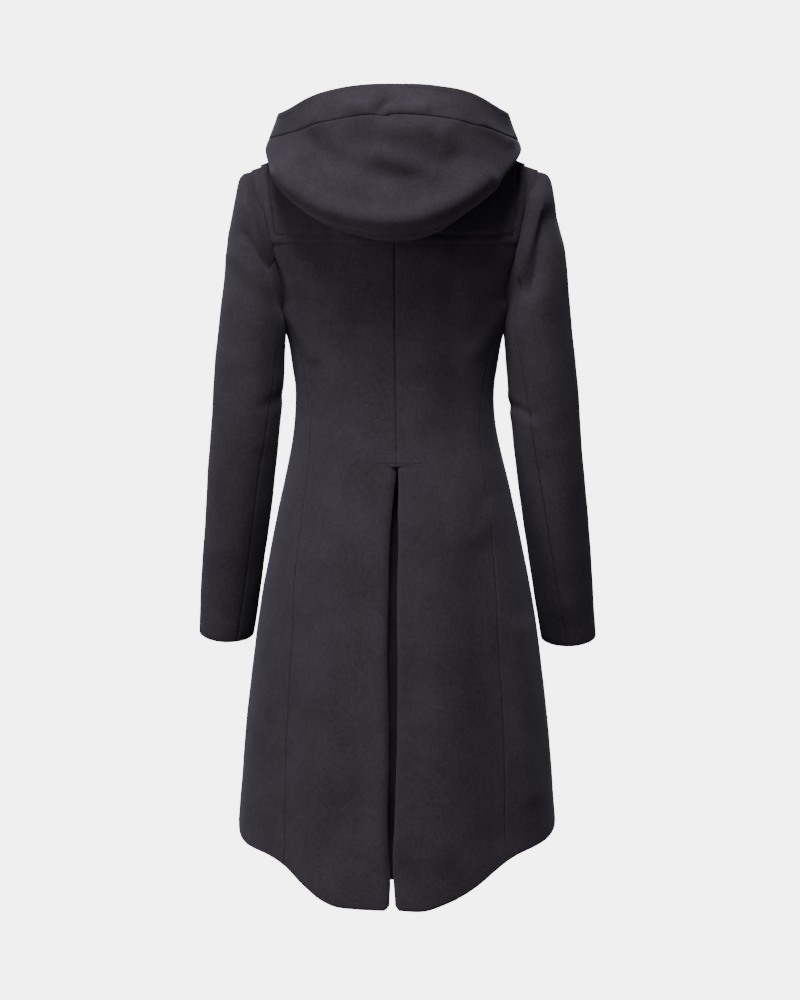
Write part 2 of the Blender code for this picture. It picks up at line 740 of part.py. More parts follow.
def hood_point(turn, place):
    corners = np.array(hood_section(turn))
    places = range(len(corners))
    r, z = smooth(place, places, corners[:, 0]), smooth(place, places, corners[:, 1])
    way = math.radians(turn)
    neck = neck_point(turn)
    skew = (math.atan2(neck[0], -neck[1]) - way) * max(0.0, 1 - place)
    return np.array([r * math.sin(way + skew), -r * math.cos(way + skew), z])


def hood_grid(places):
    return [[hood_point(turn, place) for turn in HOOD_TURNS] for place in places]


HOOD_SKIN = joined(
    (hood_grid(HOOD_INNER), False), (hood_grid(HOOD_OUTER), False), (hood_grid(HOOD_BAND), False)
)
wall("hood_inner", [(hood_grid(HOOD_INNER), False)], HOOD_SKIN)
wall("hood_outer", [(hood_grid(HOOD_OUTER), False)], HOOD_SKIN)
wall("hood_band", [(hood_grid(HOOD_BAND), False)], HOOD_SKIN)


HORN = material("horn", (0.055, 0.038, 0.026), 0.4)
LEATHER = material("leather", (0.028, 0.022, 0.020), 0.6)
CORD = material("cord", (0.016, 0.014, 0.016), 0.8)


def share_at(x, level):
    """How far across the front's skin, from the middle to the armhole, a distance from the middle is."""
    low, high = 0.0, 1.0
    for _ in range(24):
        share = (low + high) / 2
        low, high = (share, high) if plain_front(share, level)[0] < x else (low, share)
    return low


def plain_front(share, level):
    """The front's skin at this share of the way and this level."""
    if level > UNDERARM:
        return rising_point(share, row_at_level(share, level, True), True)
    behind, before = seam_turns(level)
    return section(math.pi + (before - math.pi) * share, level)


def on_front(x, level):
    """The outermost cloth of the closed front, this far to the right of the middle."""
    stretch = wider(level, x > 0)
    share = share_at(abs(x) / stretch, level)
    lapped = lap(share) if x > 0 else FRONT_LAP if share < FRONT_OVERLAP + 0.01 else 0.0
    return plain_front(share, level) * [math.copysign(stretch, x), 1, 1] + [0, lapped, 0]


PATCH_OUTLINE = ((0, 0.7), (0.33, 1.0), (0.67, 0.9), (1, 0.35))  # how tall it is along its width


def patch(name, level, sign):
    """A leather patch that holds the ends of a cord, pointed at its outer end."""
    rows = []
    for up in (-PATCH_HEIGHT / 2, 0, PATCH_HEIGHT / 2):
        row = [on_front(sign * (PATCH_START + PATCH_WIDTH * a), level + up * tall) for a, tall in PATCH_OUTLINE]
        rows.append(row[::-1] if sign > 0 else row)
    lift = LEATHER_THICKNESS + LAYER_GAP
    wall(name, [(rows, False)], lift=lift, thickness=LEATHER_THICKNESS, finish=LEATHER)


def cord(name, route):
    """A round cord along its route."""
    curve = bpy.data.curves.new(name, "CURVE")
    curve.dimensions = "3D"
    curve.bevel_depth = CORD_RADIUS
    curve.bevel_resolution = 1
    curve.use_fill_caps = True
    spline = curve.splines.new("POLY")
    spline.points.add(len(route) - 1)
    for point, place in zip(spline.points, route):
        point.co = (*place, 1)
    curve.materials.append(CORD)
    COAT.objects.link(bpy.data.objects.new(name, curve))


def toggle(name, middle):
    """A turned horn toggle, thickest in the middle, across the front."""
    bpy.ops.mesh.primitive_uv_sphere_add(segments=10, ring_count=8, radius=1)
    made = bpy.context.object
    for vertex in made.data.vertices:
        x, y, z = vertex.co
        vertex.co = middle + np.array([z * TOGGLE_LENGTH / 2, x * TOGGLE_RADIUS, y * TOGGLE_RADIUS])
    made.name = made.data.name = name
    made.data.materials.append(HORN)
    for collection in made.users_collection:
        collection.objects.unlink(made)
    COAT.objects.link(made)


CORD_HEIGHT = CORD_RADIUS + 2 * SEAM_GAP  # of a cord's middle above the cloth
NEAR_MIDDLE = 0.004  # up to here a cord crosses the front's edge, in line with its crest
CORD_END = PATCH_START - 0.001  # a hair short of the patch, whose edge it meets
# Half of a loop, from the patch to its bend, as distances from the middle and shares of its half width
LOOP_HALF = ((CORD_END, 0.7), (0.030, 1), (0.018, 1), (0.004, 1), (-0.001, 0.6))
LOOP_BEND = (-0.0025, 0)
# The tie, as distances from the middle and heights above its plain course
TIE = ((-CORD_END, 0), (-0.034, 0.0012), (-0.022, 0.0006), (-0.0105, 0.0002))
for number, level in enumerate(TOGGLE_LEVELS, 1):
    crest = on_front(0.001, level)
    slope = (on_front(0.001, level + 0.01) - on_front(0.001, level - 0.01)) / 0.02
    up = np.array([0, slope[1], 1]) / math.hypot(slope[1], 1)
    out = np.array([0, up[2], -up[1]])
    toggle(f"toggle_{number}", crest + out * (CORD_HEIGHT + CORD_RADIUS + SEAM_GAP + TOGGLE_RADIUS))

    def above(x, side, height=CORD_HEIGHT):
        base = on_front(x, level) if abs(x) > NEAR_MIDDLE else crest + [x, 0, 0]
        return base + out * height + up * side

    upper = [above(x, share * CORD_HALF) for x, share in LOOP_HALF]
    lower = [above(x, -share * CORD_HALF) for x, share in LOOP_HALF[::-1]]
    cord(f"loop_{number}", upper + [above(*LOOP_BEND)] + lower)
    cord(f"tie_{number}", [above(x, 0, CORD_HEIGHT + rise) for x, rise in TIE])
    patch(f"patch_left_{number}", level, -1)
    patch(f"patch_right_{number}", level, 1)
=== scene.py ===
# %% [markdown]
# # A duffle coat, from the back
#
# This lesson finishes a hooded wool coat that is filled out as if somebody wore it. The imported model
# gives every panel its place and its wall; here each panel is made again as soft cloth, with the
# rolled seams, the stitching, the creases and the nap that a heavy coat has.
#
# The frame is loaded first. Everything is in metres, +Z up, and the coat's back faces -Y.

# %% Load the frame
import math

import bpy
import numpy as np
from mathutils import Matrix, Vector
from mathutils.kdtree import KDTree


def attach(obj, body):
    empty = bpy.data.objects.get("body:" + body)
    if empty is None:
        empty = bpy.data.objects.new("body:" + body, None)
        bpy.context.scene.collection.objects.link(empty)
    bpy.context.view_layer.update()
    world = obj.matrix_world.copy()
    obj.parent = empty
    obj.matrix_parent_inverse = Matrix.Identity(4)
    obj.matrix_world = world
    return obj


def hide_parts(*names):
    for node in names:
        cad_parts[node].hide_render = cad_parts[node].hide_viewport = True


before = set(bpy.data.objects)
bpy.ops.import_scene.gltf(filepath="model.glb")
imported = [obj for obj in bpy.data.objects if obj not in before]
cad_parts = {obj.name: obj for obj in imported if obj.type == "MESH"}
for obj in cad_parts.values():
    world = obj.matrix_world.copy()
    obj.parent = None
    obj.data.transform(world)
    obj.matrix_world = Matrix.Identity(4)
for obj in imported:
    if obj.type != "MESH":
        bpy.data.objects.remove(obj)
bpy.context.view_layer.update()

# %% [markdown]
# ## Sizes
#
# Cloth is cut to sizes that a tailor would write down: how far below the neck the underarm, the
# waist and the hem are, and how wide the coat is at each. A soft curve through a short table fills
# in the rest. The same tables shaped the solid walls, so the fine cloth lies where the walls do.
# Heavy melton wool is a little over two millimetres thick.

# %% Driving sizes and tables
CLOTH = 0.0024
LAYER_GAP = 0.0006
GRAIN = 0.0042  # the size of a cell of cloth
UNDERARM = -0.216
UNDERARM_DIP = 0.022
HEM_SIDE = -0.950
NECK_HALF = 0.080
NECK_POINT_Y = -0.006
NECK_BACK, NECK_BACK_DROP = 0.068, 0.012
NECK_FRONT, NECK_FRONT_DROP = 0.074, 0.082
SHOULDER_HALF, SHOULDER_DROP = 0.194, 0.040
NECK_COLUMNS, BODY_COLUMNS = 3, 8  # the stretches of the top edge: round the neck, and in all
AT_NECK = NECK_COLUMNS / BODY_COLUMNS
NECK_DIP = 1.3  # how squarely the neckline drops at the middle
FRONT_OVERLAP = 0.120
FRONT_LAP = CLOTH + 0.0012


def table(columns, *rows):
    """A table as named columns of numbers."""
    return {name: np.array(values, float) for name, values in zip(columns.split(), zip(*rows))}


BODY = table(
    "level half_width back front square",
    (-1.060, 0.2250, 0.214, 0.180, 2.00),
    (-0.918, 0.2130, 0.198, 0.168, 2.00),
    (-0.810, 0.2040, 0.184, 0.158, 2.00),
    (-0.702, 0.1920, 0.168, 0.148, 2.05),
    (-0.594, 0.1760, 0.150, 0.137, 2.10),
    (-0.513, 0.1606, 0.133, 0.127, 2.15),
    (-0.459, 0.1490, 0.118, 0.120, 2.20),
    (-0.405, 0.1390, 0.104, 0.114, 2.20),
    (-0.344, 0.1340, 0.096, 0.112, 2.20),
    (-0.283, 0.1415, 0.099, 0.121, 2.25),
    (-0.216, 0.1500, 0.110, 0.130, 2.30),
    (-0.140, 0.1600, 0.114, 0.126, 2.30),
)
SIDE_SEAMS = table(
    "level behind before",
    (-1.060, 0.153, 0.165),
    (-0.918, 0.150, 0.163),
    (-0.796, 0.147, 0.158),
    (-0.675, 0.139, 0.150),
    (-0.594, 0.135, 0.144),
    (-0.513, 0.126, 0.135),
    (-0.459, 0.119, 0.127),
    (-0.400, 0.114, 0.120),
    (-0.344, 0.118, 0.119),
    (-0.274, 0.130, 0.128),
    (-0.216, 0.146, 0.146),
)
HEM = table(
    "turn level",
    (-180, -0.924),
    (-150, -0.922),
    (-110, -0.920),
    (-90, -0.922),
    (-78, -0.934),
    (-66, -0.948),
    (-52, -0.963),
    (-42, -0.981),
    (-33, -1.003),
    (-26, -1.019),
    (-20, -1.028),
    (-12, -1.0315),
    (0, -1.0335),
    (10, -1.034),
    (17, -1.025),
    (22, -1.0165),
    (29, -1.002),
    (38, -0.981),
    (49, -0.962),
    (62, -0.946),
    (75, -0.930),
    (90, -0.920),
    (110, -0.916),
    (150, -0.920),
    (180, -0.924),
)
SPREAD, SPREAD_FROM, SPREAD_WHOLE = 0.029, -0.360, -0.470  # the skirt hangs wider on the right
FLUTE_FULL = -1.03  # the level at which the flutes have their whole height
FLUTES = table(
    "turn width start rise",
    (24, 10, -0.62, 0.0045),
    (47, 9, -0.56, -0.0050),
    (66, 10, -0.60, 0.0050),
    (88, 9, -0.66, -0.0035),
    (112, 12, -0.62, 0.0045),
    (140, 13, -0.60, -0.0040),
    (163, 12, -0.66, 0.0030),
)
RISE = {
    "back_middle": ((0, -0.012, 0.066), (0, -0.040, -0.043)),
    "back_armhole": ((0.014, -0.029, 0.056), (-0.004, -0.050, -0.037)),
    "front_middle": ((0, -0.004, 0.045), (0, 0.028, -0.036)),
    "front_armhole": ((0.004, 0.024, 0.051), (-0.008, 0.046, -0.042)),
}
PLEAT = table(
    "level half_slit middle",
    (-1.040, 0.0040, -0.0034),
    (-1.019, 0.0032, -0.0034),
    (-1.000, 0.0020, -0.0036),
    (-0.972, 0.0028, -0.0050),
    (-0.918, 0.0050, -0.0049),
    (-0.864, 0.0048, -0.0033),
    (-0.810, 0.0056, -0.0024),
    (-0.756, 0.0064, -0.0025),
    (-0.702, 0.0064, -0.0030),
    (-0.648, 0.0062, -0.0030),
    (-0.594, 0.0056, -0.0023),
    (-0.540, 0.0053, -0.0008),
    (-0.500, 0.0037, 0.0004),
    (-0.4725, 0.0030, 0.0022),
    (-0.452, 0.0013, 0.0033),
    (-0.430, 0.0003, 0.0030),
    (-0.380, 0.0000, 0.0018),
    (-0.300, 0.0000, 0.0008),
    (-0.216, 0.0000, 0.0000),
)
SLEEVE = table(
    "out_x out_z in_x in_z middle_y depth lean hind_left hind_right fore",
    (0.2090, -0.0500, 0.1503, -0.2440, -0.002, 0.0630, 0.00, 0.10, 0.12, 0.16),
    (0.2175, -0.0860, 0.1496, -0.2530, -0.004, 0.0660, 0.00, 0.10, 0.14, 0.16),
    (0.2260, -0.1400, 0.1486, -0.2650, -0.006, 0.0670, 0.00, 0.10, 0.16, 0.16),
    (0.2340, -0.2080, 0.1484, -0.2830, -0.008, 0.0650, 0.00, 0.11, 0.18, 0.17),
    (0.2405, -0.2720, 0.1495, -0.3070, -0.008, 0.0620, 0.00, 0.13, 0.21, 0.18),
    (0.2455, -0.3330, 0.1512, -0.3420, -0.007, 0.0590, 0.02, 0.15, 0.25, 0.20),
    (0.2495, -0.3950, 0.1563, -0.3980, -0.003, 0.0570, 0.07, 0.20, 0.30, 0.22),
    (0.2548, -0.4600, 0.1635, -0.4600, 0.006, 0.0550, 0.14, 0.235, 0.34, 0.24),
    (0.2595, -0.5250, 0.1718, -0.5250, 0.018, 0.0530, 0.20, 0.25, 0.38, 0.25),
    (0.2640, -0.5900, 0.1812, -0.5900, 0.033, 0.0500, 0.25, 0.27, 0.41, 0.26),
    (0.2672, -0.6630, 0.1932, -0.6650, 0.051, 0.0470, 0.28, 0.31, 0.47, 0.28),
)
SWAY = {"left": (-0.0027, -0.0020), "right": (0.0055, -0.0075)}  # how far out and down each cuff hangs
HOOD = table(
    "turn fold_r fold_z belly_r belly_z seam_r seam_z rim_r rim_z",
    (-172, 0.096, -0.086, 0.110, -0.076, 0.113, -0.060, 0.104, -0.034),
    (-140, 0.124, -0.058, 0.138, -0.044, 0.141, -0.026, 0.130, 0.006),
    (-110, 0.154, -0.030, 0.165, -0.020, 0.167, -0.006, 0.152, 0.024),
    (-85, 0.169, -0.021, 0.175, -0.013, 0.171, 0.000, 0.157, 0.035),
    (-60, 0.172, -0.064, 0.184, -0.044, 0.172, 0.005, 0.169, 0.039),
    (-40, 0.166, -0.105, 0.190, -0.074, 0.176, 0.015, 0.160, 0.0600),
    (-20, 0.153, -0.130, 0.188, -0.092, 0.172, 0.026, 0.146, 0.0712),
    (0, 0.144, -0.138, 0.184, -0.100, 0.168, 0.0290, 0.138, 0.0730),
    (20, 0.150, -0.130, 0.184, -0.092, 0.170, 0.026, 0.144, 0.0715),
    (40, 0.160, -0.092, 0.184, -0.066, 0.172, 0.015, 0.158, 0.062),
    (60, 0.169, -0.048, 0.180, -0.034, 0.170, 0.003, 0.166, 0.040),
    (85, 0.166, -0.021, 0.171, -0.012, 0.168, -0.002, 0.152, 0.035),
    (110, 0.152, -0.030, 0.162, -0.020, 0.163, -0.006, 0.148, 0.024),
    (140, 0.122, -0.058, 0.136, -0.044, 0.139, -0.026, 0.128, 0.006),
    (172, 0.096, -0.086, 0.110, -0.076, 0.113, -0.060, 0.104, -0.034),
)

# %% [markdown]
# ## The form that the cloth lies on
#
# Below the underarm the coat is a stack of rounded sections, one for each level, wide and flat as a
# body is. Above it each column of the back and of the front rises on a curve to the neckline or to
# the shoulder seam. Every function takes arrays, so a whole panel is worked out at once.

# %% Curves and sections


def smooth(x, xs, ys):
    """Values at x of a soft curve through the points, with slopes taken from the neighbours."""
    order = np.argsort(xs)
    xs, ys = np.asarray(xs, float)[order], np.asarray(ys, float)[order]
    x = np.clip(np.asarray(x, float), xs[0], xs[-1])
    slopes = np.gradient(ys, xs)
    i = np.clip(np.searchsorted(xs, x) - 1, 0, len(xs) - 2)
    span = xs[i + 1] - xs[i]
    t = (x - xs[i]) / span
    from_here = (1 + 2 * t) * (1 - t) ** 2 * ys[i] + t * (1 - t) ** 2 * span * slopes[i]
    return from_here + t * t * (3 - 2 * t) * ys[i + 1] - t * t * (1 - t) * span * slopes[i + 1]


def look(rows, key, x, by="level"):
    return smooth(x, rows[by], rows[key])


def stack(*parts):
    return np.stack(np.broadcast_arrays(*parts), axis=-1)


def mix(a, b, t):
    t = np.asarray(t)[..., None]
    return np.asarray(a) * (1 - t) + np.asarray(b) * t


def flute(turn, level):
    """How far the skirt stands out of its plain section."""
    rise = 0.0
    for at, width, start, height in zip(*(FLUTES[k] for k in ("turn", "width", "start", "rise"))):
        grown = np.maximum(0.0, (start - level) / (start - FLUTE_FULL))
        away = (np.degrees(np.abs(turn)) - at) / width
        rise = rise + height * grown * np.exp(-away * away)
    return rise


def section(turn, level):
    """Points of the body; turn is 0 at the centre back and pi at the centre front."""
    half = look(BODY, "half_width", level)
    depth = np.where(np.cos(turn) > 0, look(BODY, "back", level), look(BODY, "front", level))
    power = 2 / look(BODY, "square", level)
    x = half * np.sign(np.sin(turn)) * np.abs(np.sin(turn)) ** power
    y = -depth * np.sign(np.cos(turn)) * np.abs(np.cos(turn)) ** power
    out = 1 + flute(turn, level) / np.hypot(x, y)
    return stack(x * out, y * out, level)


def turn_at(x, level):
    share = np.minimum(1.0, np.abs(x) / look(BODY, "half_width", level))
    return np.sign(x) * np.arcsin(share ** (look(BODY, "square", level) / 2))


def seam_turns(level):
    behind = turn_at(look(SIDE_SEAMS, "behind", level), level)
    return behind, np.pi - turn_at(look(SIDE_SEAMS, "before", level), level)


def hem_level(turn, sign):
    """The lower edge; it hangs lower on the left, where the sign is -1."""
    return look(HEM, "level", sign * np.degrees(turn), by="turn")


def top_edge(share, front):
    """The neckline and then the shoulder seam, from the middle (0) to the armhole (1)."""
    share = np.asarray(share, float)
    size = np.abs(share)
    round_neck = np.pi / 2 * np.clip(size / AT_NECK, 0, 1)
    depth = NECK_FRONT - NECK_POINT_Y if front else -(NECK_BACK + NECK_POINT_Y)
    drop = NECK_FRONT_DROP if front else NECK_BACK_DROP
    cosine = np.maximum(np.cos(round_neck), 0)
    fall = -drop * cosine**NECK_DIP
    neck = stack(NECK_HALF * np.sin(round_neck), NECK_POINT_Y + depth * cosine, fall)
    along = np.clip((size - AT_NECK) / (1 - AT_NECK), 0, 1)
    point = neck + stack(
        (SHOULDER_HALF - NECK_HALF) * along, -NECK_POINT_Y * along, -SHOULDER_DROP * along
    )
    return point * stack(np.where(share < 0, -1.0, 1.0), 1.0, 1.0)


def rising(share, t, front):
    """The skin between the underarm level (t is 0) and the neckline or shoulder seam (t is 1)."""
    share, t = np.broadcast_arrays(np.asarray(share, float), np.asarray(t, float))
    behind, before = seam_turns(UNDERARM)
    turn = np.pi + (before - np.pi) * share if front else behind * share
    low, high = section(turn, np.full(share.shape, UNDERARM)), top_edge(share, front)
    side = "front" if front else "back"
    flip = stack(np.where(share < 0, -1.0, 1.0), 1.0, 1.0)
    ends = [np.array(RISE[f"{side}_{end}"]) for end in ("middle", "armhole")]
    pulls = [mix(ends[0][i], ends[1][i], np.abs(share)) * flip for i in (0, 1)]
    t = t[..., None]
    return (
        (1 - t) ** 3 * low
        + 3 * t * (1 - t) ** 2 * (low + pulls[0])
        + 3 * t * t * (1 - t) * (high + pulls[1])
        + t**3 * high
    )


def lap(share):
    """How far the upper front is moved out, so that it clears the lower one."""
    return FRONT_LAP * np.clip(NECK_COLUMNS - 1 - BODY_COLUMNS * share, 0, 1)


def spread(points, sign):
    """The skirt hangs a little wider on the right, where the sign is 1."""
    below = np.clip((SPREAD_FROM - points[..., 2]) / (SPREAD_FROM - SPREAD_WHOLE), 0, 1)
    wider = SPREAD * below * below * (3 - 2 * below) * (sign > 0)
    return points * stack(1 + wider, 1.0, 1.0)


RISE_SPAN = 0.28  # rows above this share of a column belong to the rising part


def half_body(share, row, front, sign):
    """The back or front of a half, drawn on the right; row is 0 at the hem and 1 at the top edge."""
    share, row = np.broadcast_arrays(np.asarray(share, float), np.asarray(row, float))

    def turn_of(level):
        behind, before = seam_turns(level)
        return np.pi + (before - np.pi) * share if front else behind * share

    bottom = hem_level(turn_of(HEM_SIDE), sign)
    level = bottom + (UNDERARM - bottom) * np.clip(row / (1 - RISE_SPAN), 0, 1)
    low = spread(section(turn_of(level), level), sign)
    high = rising(share, np.clip((row - 1 + RISE_SPAN) / RISE_SPAN, 0, 1), front)
    return np.where((row > 1 - RISE_SPAN)[..., None], high, low)


def side_body(share, row, sign=1):
    """The side panel of a half, drawn on the right, up to the bottom of the armhole."""
    share, row = np.broadcast_arrays(np.asarray(share, float), np.asarray(row, float))

    def turn_of(level):
        behind, before = seam_turns(np.minimum(level, UNDERARM))
        return behind + (before - behind) * share

    bottom = hem_level(turn_of(HEM_SIDE), sign)
    level = bottom + (UNDERARM - UNDERARM_DIP * np.sin(np.pi * share) - bottom) * row
    return spread(section(turn_of(level), level), sign)


print("waist, half width:", round(float(look(BODY, "half_width", -0.344)), 3), "m")

# %% [markdown]
# ## Wool
#
# Melton is woven and then shrunk and brushed until the weave is gone: what is left is a short, flat
# nap that is matt, a little mottled and paler where it is seen edge on. The colour comes from three
# sizes of noise, the nap from fine stretched noise as a bump, and the pale edge from sheen.
# A small class lets the shader sums be written as sums.

# %% Materials


class Value:
    """A shader value that can be added, subtracted, multiplied and raised to a power, with others or
    with numbers.
    """

    def __init__(self, maker, socket):
        self.maker, self.socket = maker, socket

    def _math(self, operation, *others):
        return self.maker.math(operation, self, *others)

    def __add__(self, other):
        return self._math("ADD", other)

    __radd__ = __add__

    def __mul__(self, other):
        return self._math("MULTIPLY", other)

    __rmul__ = __mul__

    def __sub__(self, other):
        return self._math("SUBTRACT", other)

    def __rsub__(self, other):
        return self.maker.math("SUBTRACT", other, self)

    def __pow__(self, other):
        return self._math("POWER", other)


class Maker:
    """Adds nodes to one material and links them."""

    def __init__(self, name):
        self.material = bpy.data.materials.new(name)
        self.material.use_nodes = True
        self.tree = self.material.node_tree
        self.shader = self.tree.nodes["Principled BSDF"]

    def put(self, socket, value):
        if isinstance(value, Value):
            self.tree.links.new(value.socket, socket)
        else:
            socket.default_value = value

    def node(self, kind, output=0, inputs=(), **settings):
        made = self.tree.nodes.new(kind)
        for key, value in settings.items():
            setattr(made, key, value)
        for key, value in dict(inputs).items():
            self.put(made.inputs[key], value)
        return Value(self, made.outputs[output])

    def math(self, operation, *values):
        return self.node("ShaderNodeMath", inputs=dict(enumerate(values)), operation=operation)

    def coordinates(self, scale=(1, 1, 1)):
        place = self.node("ShaderNodeTexCoord", "Object")
        return self.node("ShaderNodeVectorMath", inputs={0: place, 1: scale}, operation="MULTIPLY")

    def noise(self, size, scale=(1, 1, 1), detail=3.0, roughness=0.55):
        """Noise from 0 to 1 whose grains are about this size in metres."""
        grain = {"Vector": self.coordinates(scale), "Scale": 1 / size, "Detail": detail}
        return self.node("ShaderNodeTexNoise", "Fac", {**grain, "Roughness": roughness})

    def between(self, value, low, high, to_low=0.0, to_high=1.0):
        ends = {"From Min": low, "From Max": high, "To Min": to_low, "To Max": to_high}
        return self.node("ShaderNodeMapRange", inputs={"Value": value, **ends})

    def colour(self, factor, first, second):
        """The first colour where the factor is 0 and the second where it is 1."""
        made = self.tree.nodes.new("ShaderNodeMix")
        made.data_type = "RGBA"
        self.put(made.inputs[0], factor)
        self.put(made.inputs[6], first if isinstance(first, Value) else (*first, 1))
        self.put(made.inputs[7], second if isinstance(second, Value) else (*second, 1))
        return Value(self, made.outputs[2])

    def finish(self, colour, roughness, height, depth, **constants):
        """Links the varying values and sets the constant ones. Depth is that of the bump in metres."""
        self.put(self.shader.inputs["Base Color"], colour)
        self.put(self.shader.inputs["Roughness"], roughness)
        shape = {"Height": height, "Distance": depth, "Strength": 1.0}
        bump = self.node("ShaderNodeBump", inputs=shape)
        self.put(self.shader.inputs["Normal"], bump)
        for key, value in constants.items():
            self.shader.inputs[key.replace("_", " ")].default_value = value
        return self.material


def melton(name, deep, pale, nap=0.00017):
    make = Maker(name)
    clouds = make.noise(0.060, detail=2.0)
    flecks = make.noise(0.0045, (1, 1, 0.7), detail=4.0, roughness=0.65)
    hairs = make.noise(0.0011, (1, 1, 0.35), detail=3.0, roughness=0.6)
    tone = make.between(clouds * 0.35 + flecks * 0.4 + hairs * 0.25, 0.30, 0.70)
    warm = make.between(make.noise(0.0032, (0.6, 0.6, 1), detail=1.0), 0.60, 0.74)
    cloth = make.colour(tone, deep, pale)
    blush = make.colour(warm * 0.30, cloth, [c * k for c, k in zip(pale, (1.35, 1.02, 1.10))])
    height = flecks * 0.55 + hairs * 0.45
    rough = make.between(flecks, 0.3, 0.7, 0.88, 0.98)
    return make.finish(
        blush, rough, height, nap, Sheen_Weight=0.09, Sheen_Roughness=0.55,
        Sheen_Tint=(0.53, 0.51, 0.66, 1), Specular_IOR_Level=0.12,
    )


def plain(name, first, second, size, roughness, depth, scale=(1, 1, 1), **constants):
    make = Maker(name)
    grain = make.noise(size, scale, detail=4.0)
    rough = make.between(grain, 0.3, 0.7, roughness - 0.06, roughness + 0.06)
    colour = make.colour(make.between(grain, 0.35, 0.65), first, second)
    return make.finish(colour, rough, grain, depth, **constants)


MELTON = melton("melton wool", (0.0126, 0.0098, 0.0136), (0.0340, 0.0280, 0.0362))
THREAD = plain("wool thread", (0.016, 0.014, 0.018), (0.030, 0.026, 0.032), 0.0006, 0.75, 0.00004)
print("wool, with", len(MELTON.node_tree.nodes), "nodes")

# %% [markdown]
# ## How a sheet is made
#
# A panel starts as a grid of points on the form. Four things then happen to it: it is welded where
# two grids meet, it is moved out or in by its creases, it rolls down at its edges as thick cloth does
# where it is turned in at a seam, and it is thickened inwards into a wall. Columns and rows lie closer
# together at the edges and along rows of stitching, where the cloth bends most.

# %% Sheet tools
EDGE_STEPS = (0.0, 0.0007, 0.0017, 0.0032)  # distances from an edge that always have a row of points
STITCH_STEPS = (0.0105, 0.0120, 0.0135)  # and those beside a row of topstitching
SEAM_ROLL = (0.0011, 0.0036)  # how deep the cloth falls at a seam, and over what width
CREVICE = (0.0020, 0.0016)  # at the seam itself the stitches pull the cloth down steeply
# Places with no such fall, as a distance from the middle, a level, a width and a height
UNDER_ARM_SPOT = (0.150, -0.240, 0.026, 0.040)
SHOULDER_SPOT = (0.195, -0.045, 0.030, 0.045, 4)  # squarer than the others
WELD_STEPS = 2e5  # steps in a metre; points that round to the same one are joined
cloth = {}  # the finished sheets, by the name of the solid that each replaces
COAT = bpy.data.collections.new("duffle coat cloth")
bpy.context.scene.collection.children.link(COAT)


def spaced(length, low=EDGE_STEPS, high=EDGE_STEPS, grain=GRAIN, also=()):
    """Places from 0 to 1 along a length in metres, close together near its ends."""
    near, far = np.array(low) / length, 1 - np.array(high[::-1]) / length
    start, stop = (near[-1] if low else 0.0), (far[0] if high else 1.0)
    count = max(2, int(round((stop - start) * length / grain)) + 1)
    inner = np.linspace(start, stop, count)
    places = np.concatenate([near[:-1] if low else [], inner, far[1:] if high else [], also])
    return np.unique(np.round(places, 7))


def welded(grids):
    """Points and faces of several grids, joined where they meet. Points of a grid may be missing."""
    points, faces, start = [], [], 0
    for grid, flipped in grids:
        rows, columns = grid.shape[:2]
        index = start + np.arange(rows * columns).reshape(rows, columns)
        corners = index[:-1, :-1], index[:-1, 1:], index[1:, 1:], index[1:, :-1]
        cells = np.stack(corners, -1).reshape(-1, 4)
        faces.append(cells[:, ::-1] if flipped else cells)
        points.append(grid.reshape(-1, 3))
        start += rows * columns
    points, faces = np.concatenate(points), np.concatenate(faces)
    faces = faces[np.isfinite(points[faces]).all(axis=(1, 2))]
    used = np.unique(faces)
    _, first, back = np.unique(
        np.round(points[used] * WELD_STEPS), axis=0, return_index=True, return_inverse=True
    )
    place = np.zeros(len(points), int)
    place[used] = back.ravel()
    return points[used][first], place[faces]


def leans(points, faces):
    """The outward direction at each point."""
    a, b, c, d = (points[faces[:, i]] for i in range(4))
    turned = np.cross(c - a, d - b)
    total = np.zeros_like(points)
    for i in range(4):
        np.add.at(total, faces[:, i], turned)
    return total / (np.linalg.norm(total, axis=1)[:, None] + 1e-15)


def outline(faces):
    """The edges, as pairs of points, that only one face has."""
    ends = np.concatenate([faces[:, [i, (i + 1) % 4]] for i in range(4)])
    both, counts = np.unique(np.sort(ends, axis=1), axis=0, return_counts=True)
    return both[counts == 1]


def from_edge(points, faces, keep=lambda p: np.ones(len(p), bool)):
    """How far each point is from the sheet's outline, or from the part of it that is kept."""
    edge = points[np.unique(outline(faces))]
    edge = edge[keep(edge)]
    tree = KDTree(len(edge))
    for i, point in enumerate(edge):
        tree.insert(point, i)
    tree.balance()
    return np.array([tree.find(p)[2] for p in points])


def build(name, points, faces, thickness=CLOTH, finish=None, angle=50):
    """A mesh through these points, thickened inwards and shaded smooth."""
    mesh = bpy.data.meshes.new(name)
    mesh.from_pydata(points.tolist(), [], faces.tolist())
    piece = bpy.data.objects.new(name, mesh)
    COAT.objects.link(piece)
    bpy.ops.object.select_all(action="DESELECT")
    piece.select_set(True)
    bpy.context.view_layer.objects.active = piece
    if thickness:
        wall = piece.modifiers.new("wall", "SOLIDIFY")
        wall.thickness, wall.offset, wall.use_even_offset = thickness, -1, False
        bpy.ops.object.modifier_apply(modifier=wall.name)
    bpy.ops.object.shade_smooth_by_angle(angle=math.radians(angle))
    mesh.materials.append(finish or MELTON)
    return piece


def spot(points, out, level, width, height, power=2):
    """1 at this distance from the middle and this level, on both sides, and 0 away from there."""
    x, _, z = points.T
    return np.exp(-(((np.abs(x) - out) / width) ** 2) - ((z - level) / height) ** power)


def sides_press(points):
    """1 under the arm, where the sleeve and the side press on each other, and 0 away from there."""
    return spot(points, *UNDER_ARM_SPOT)


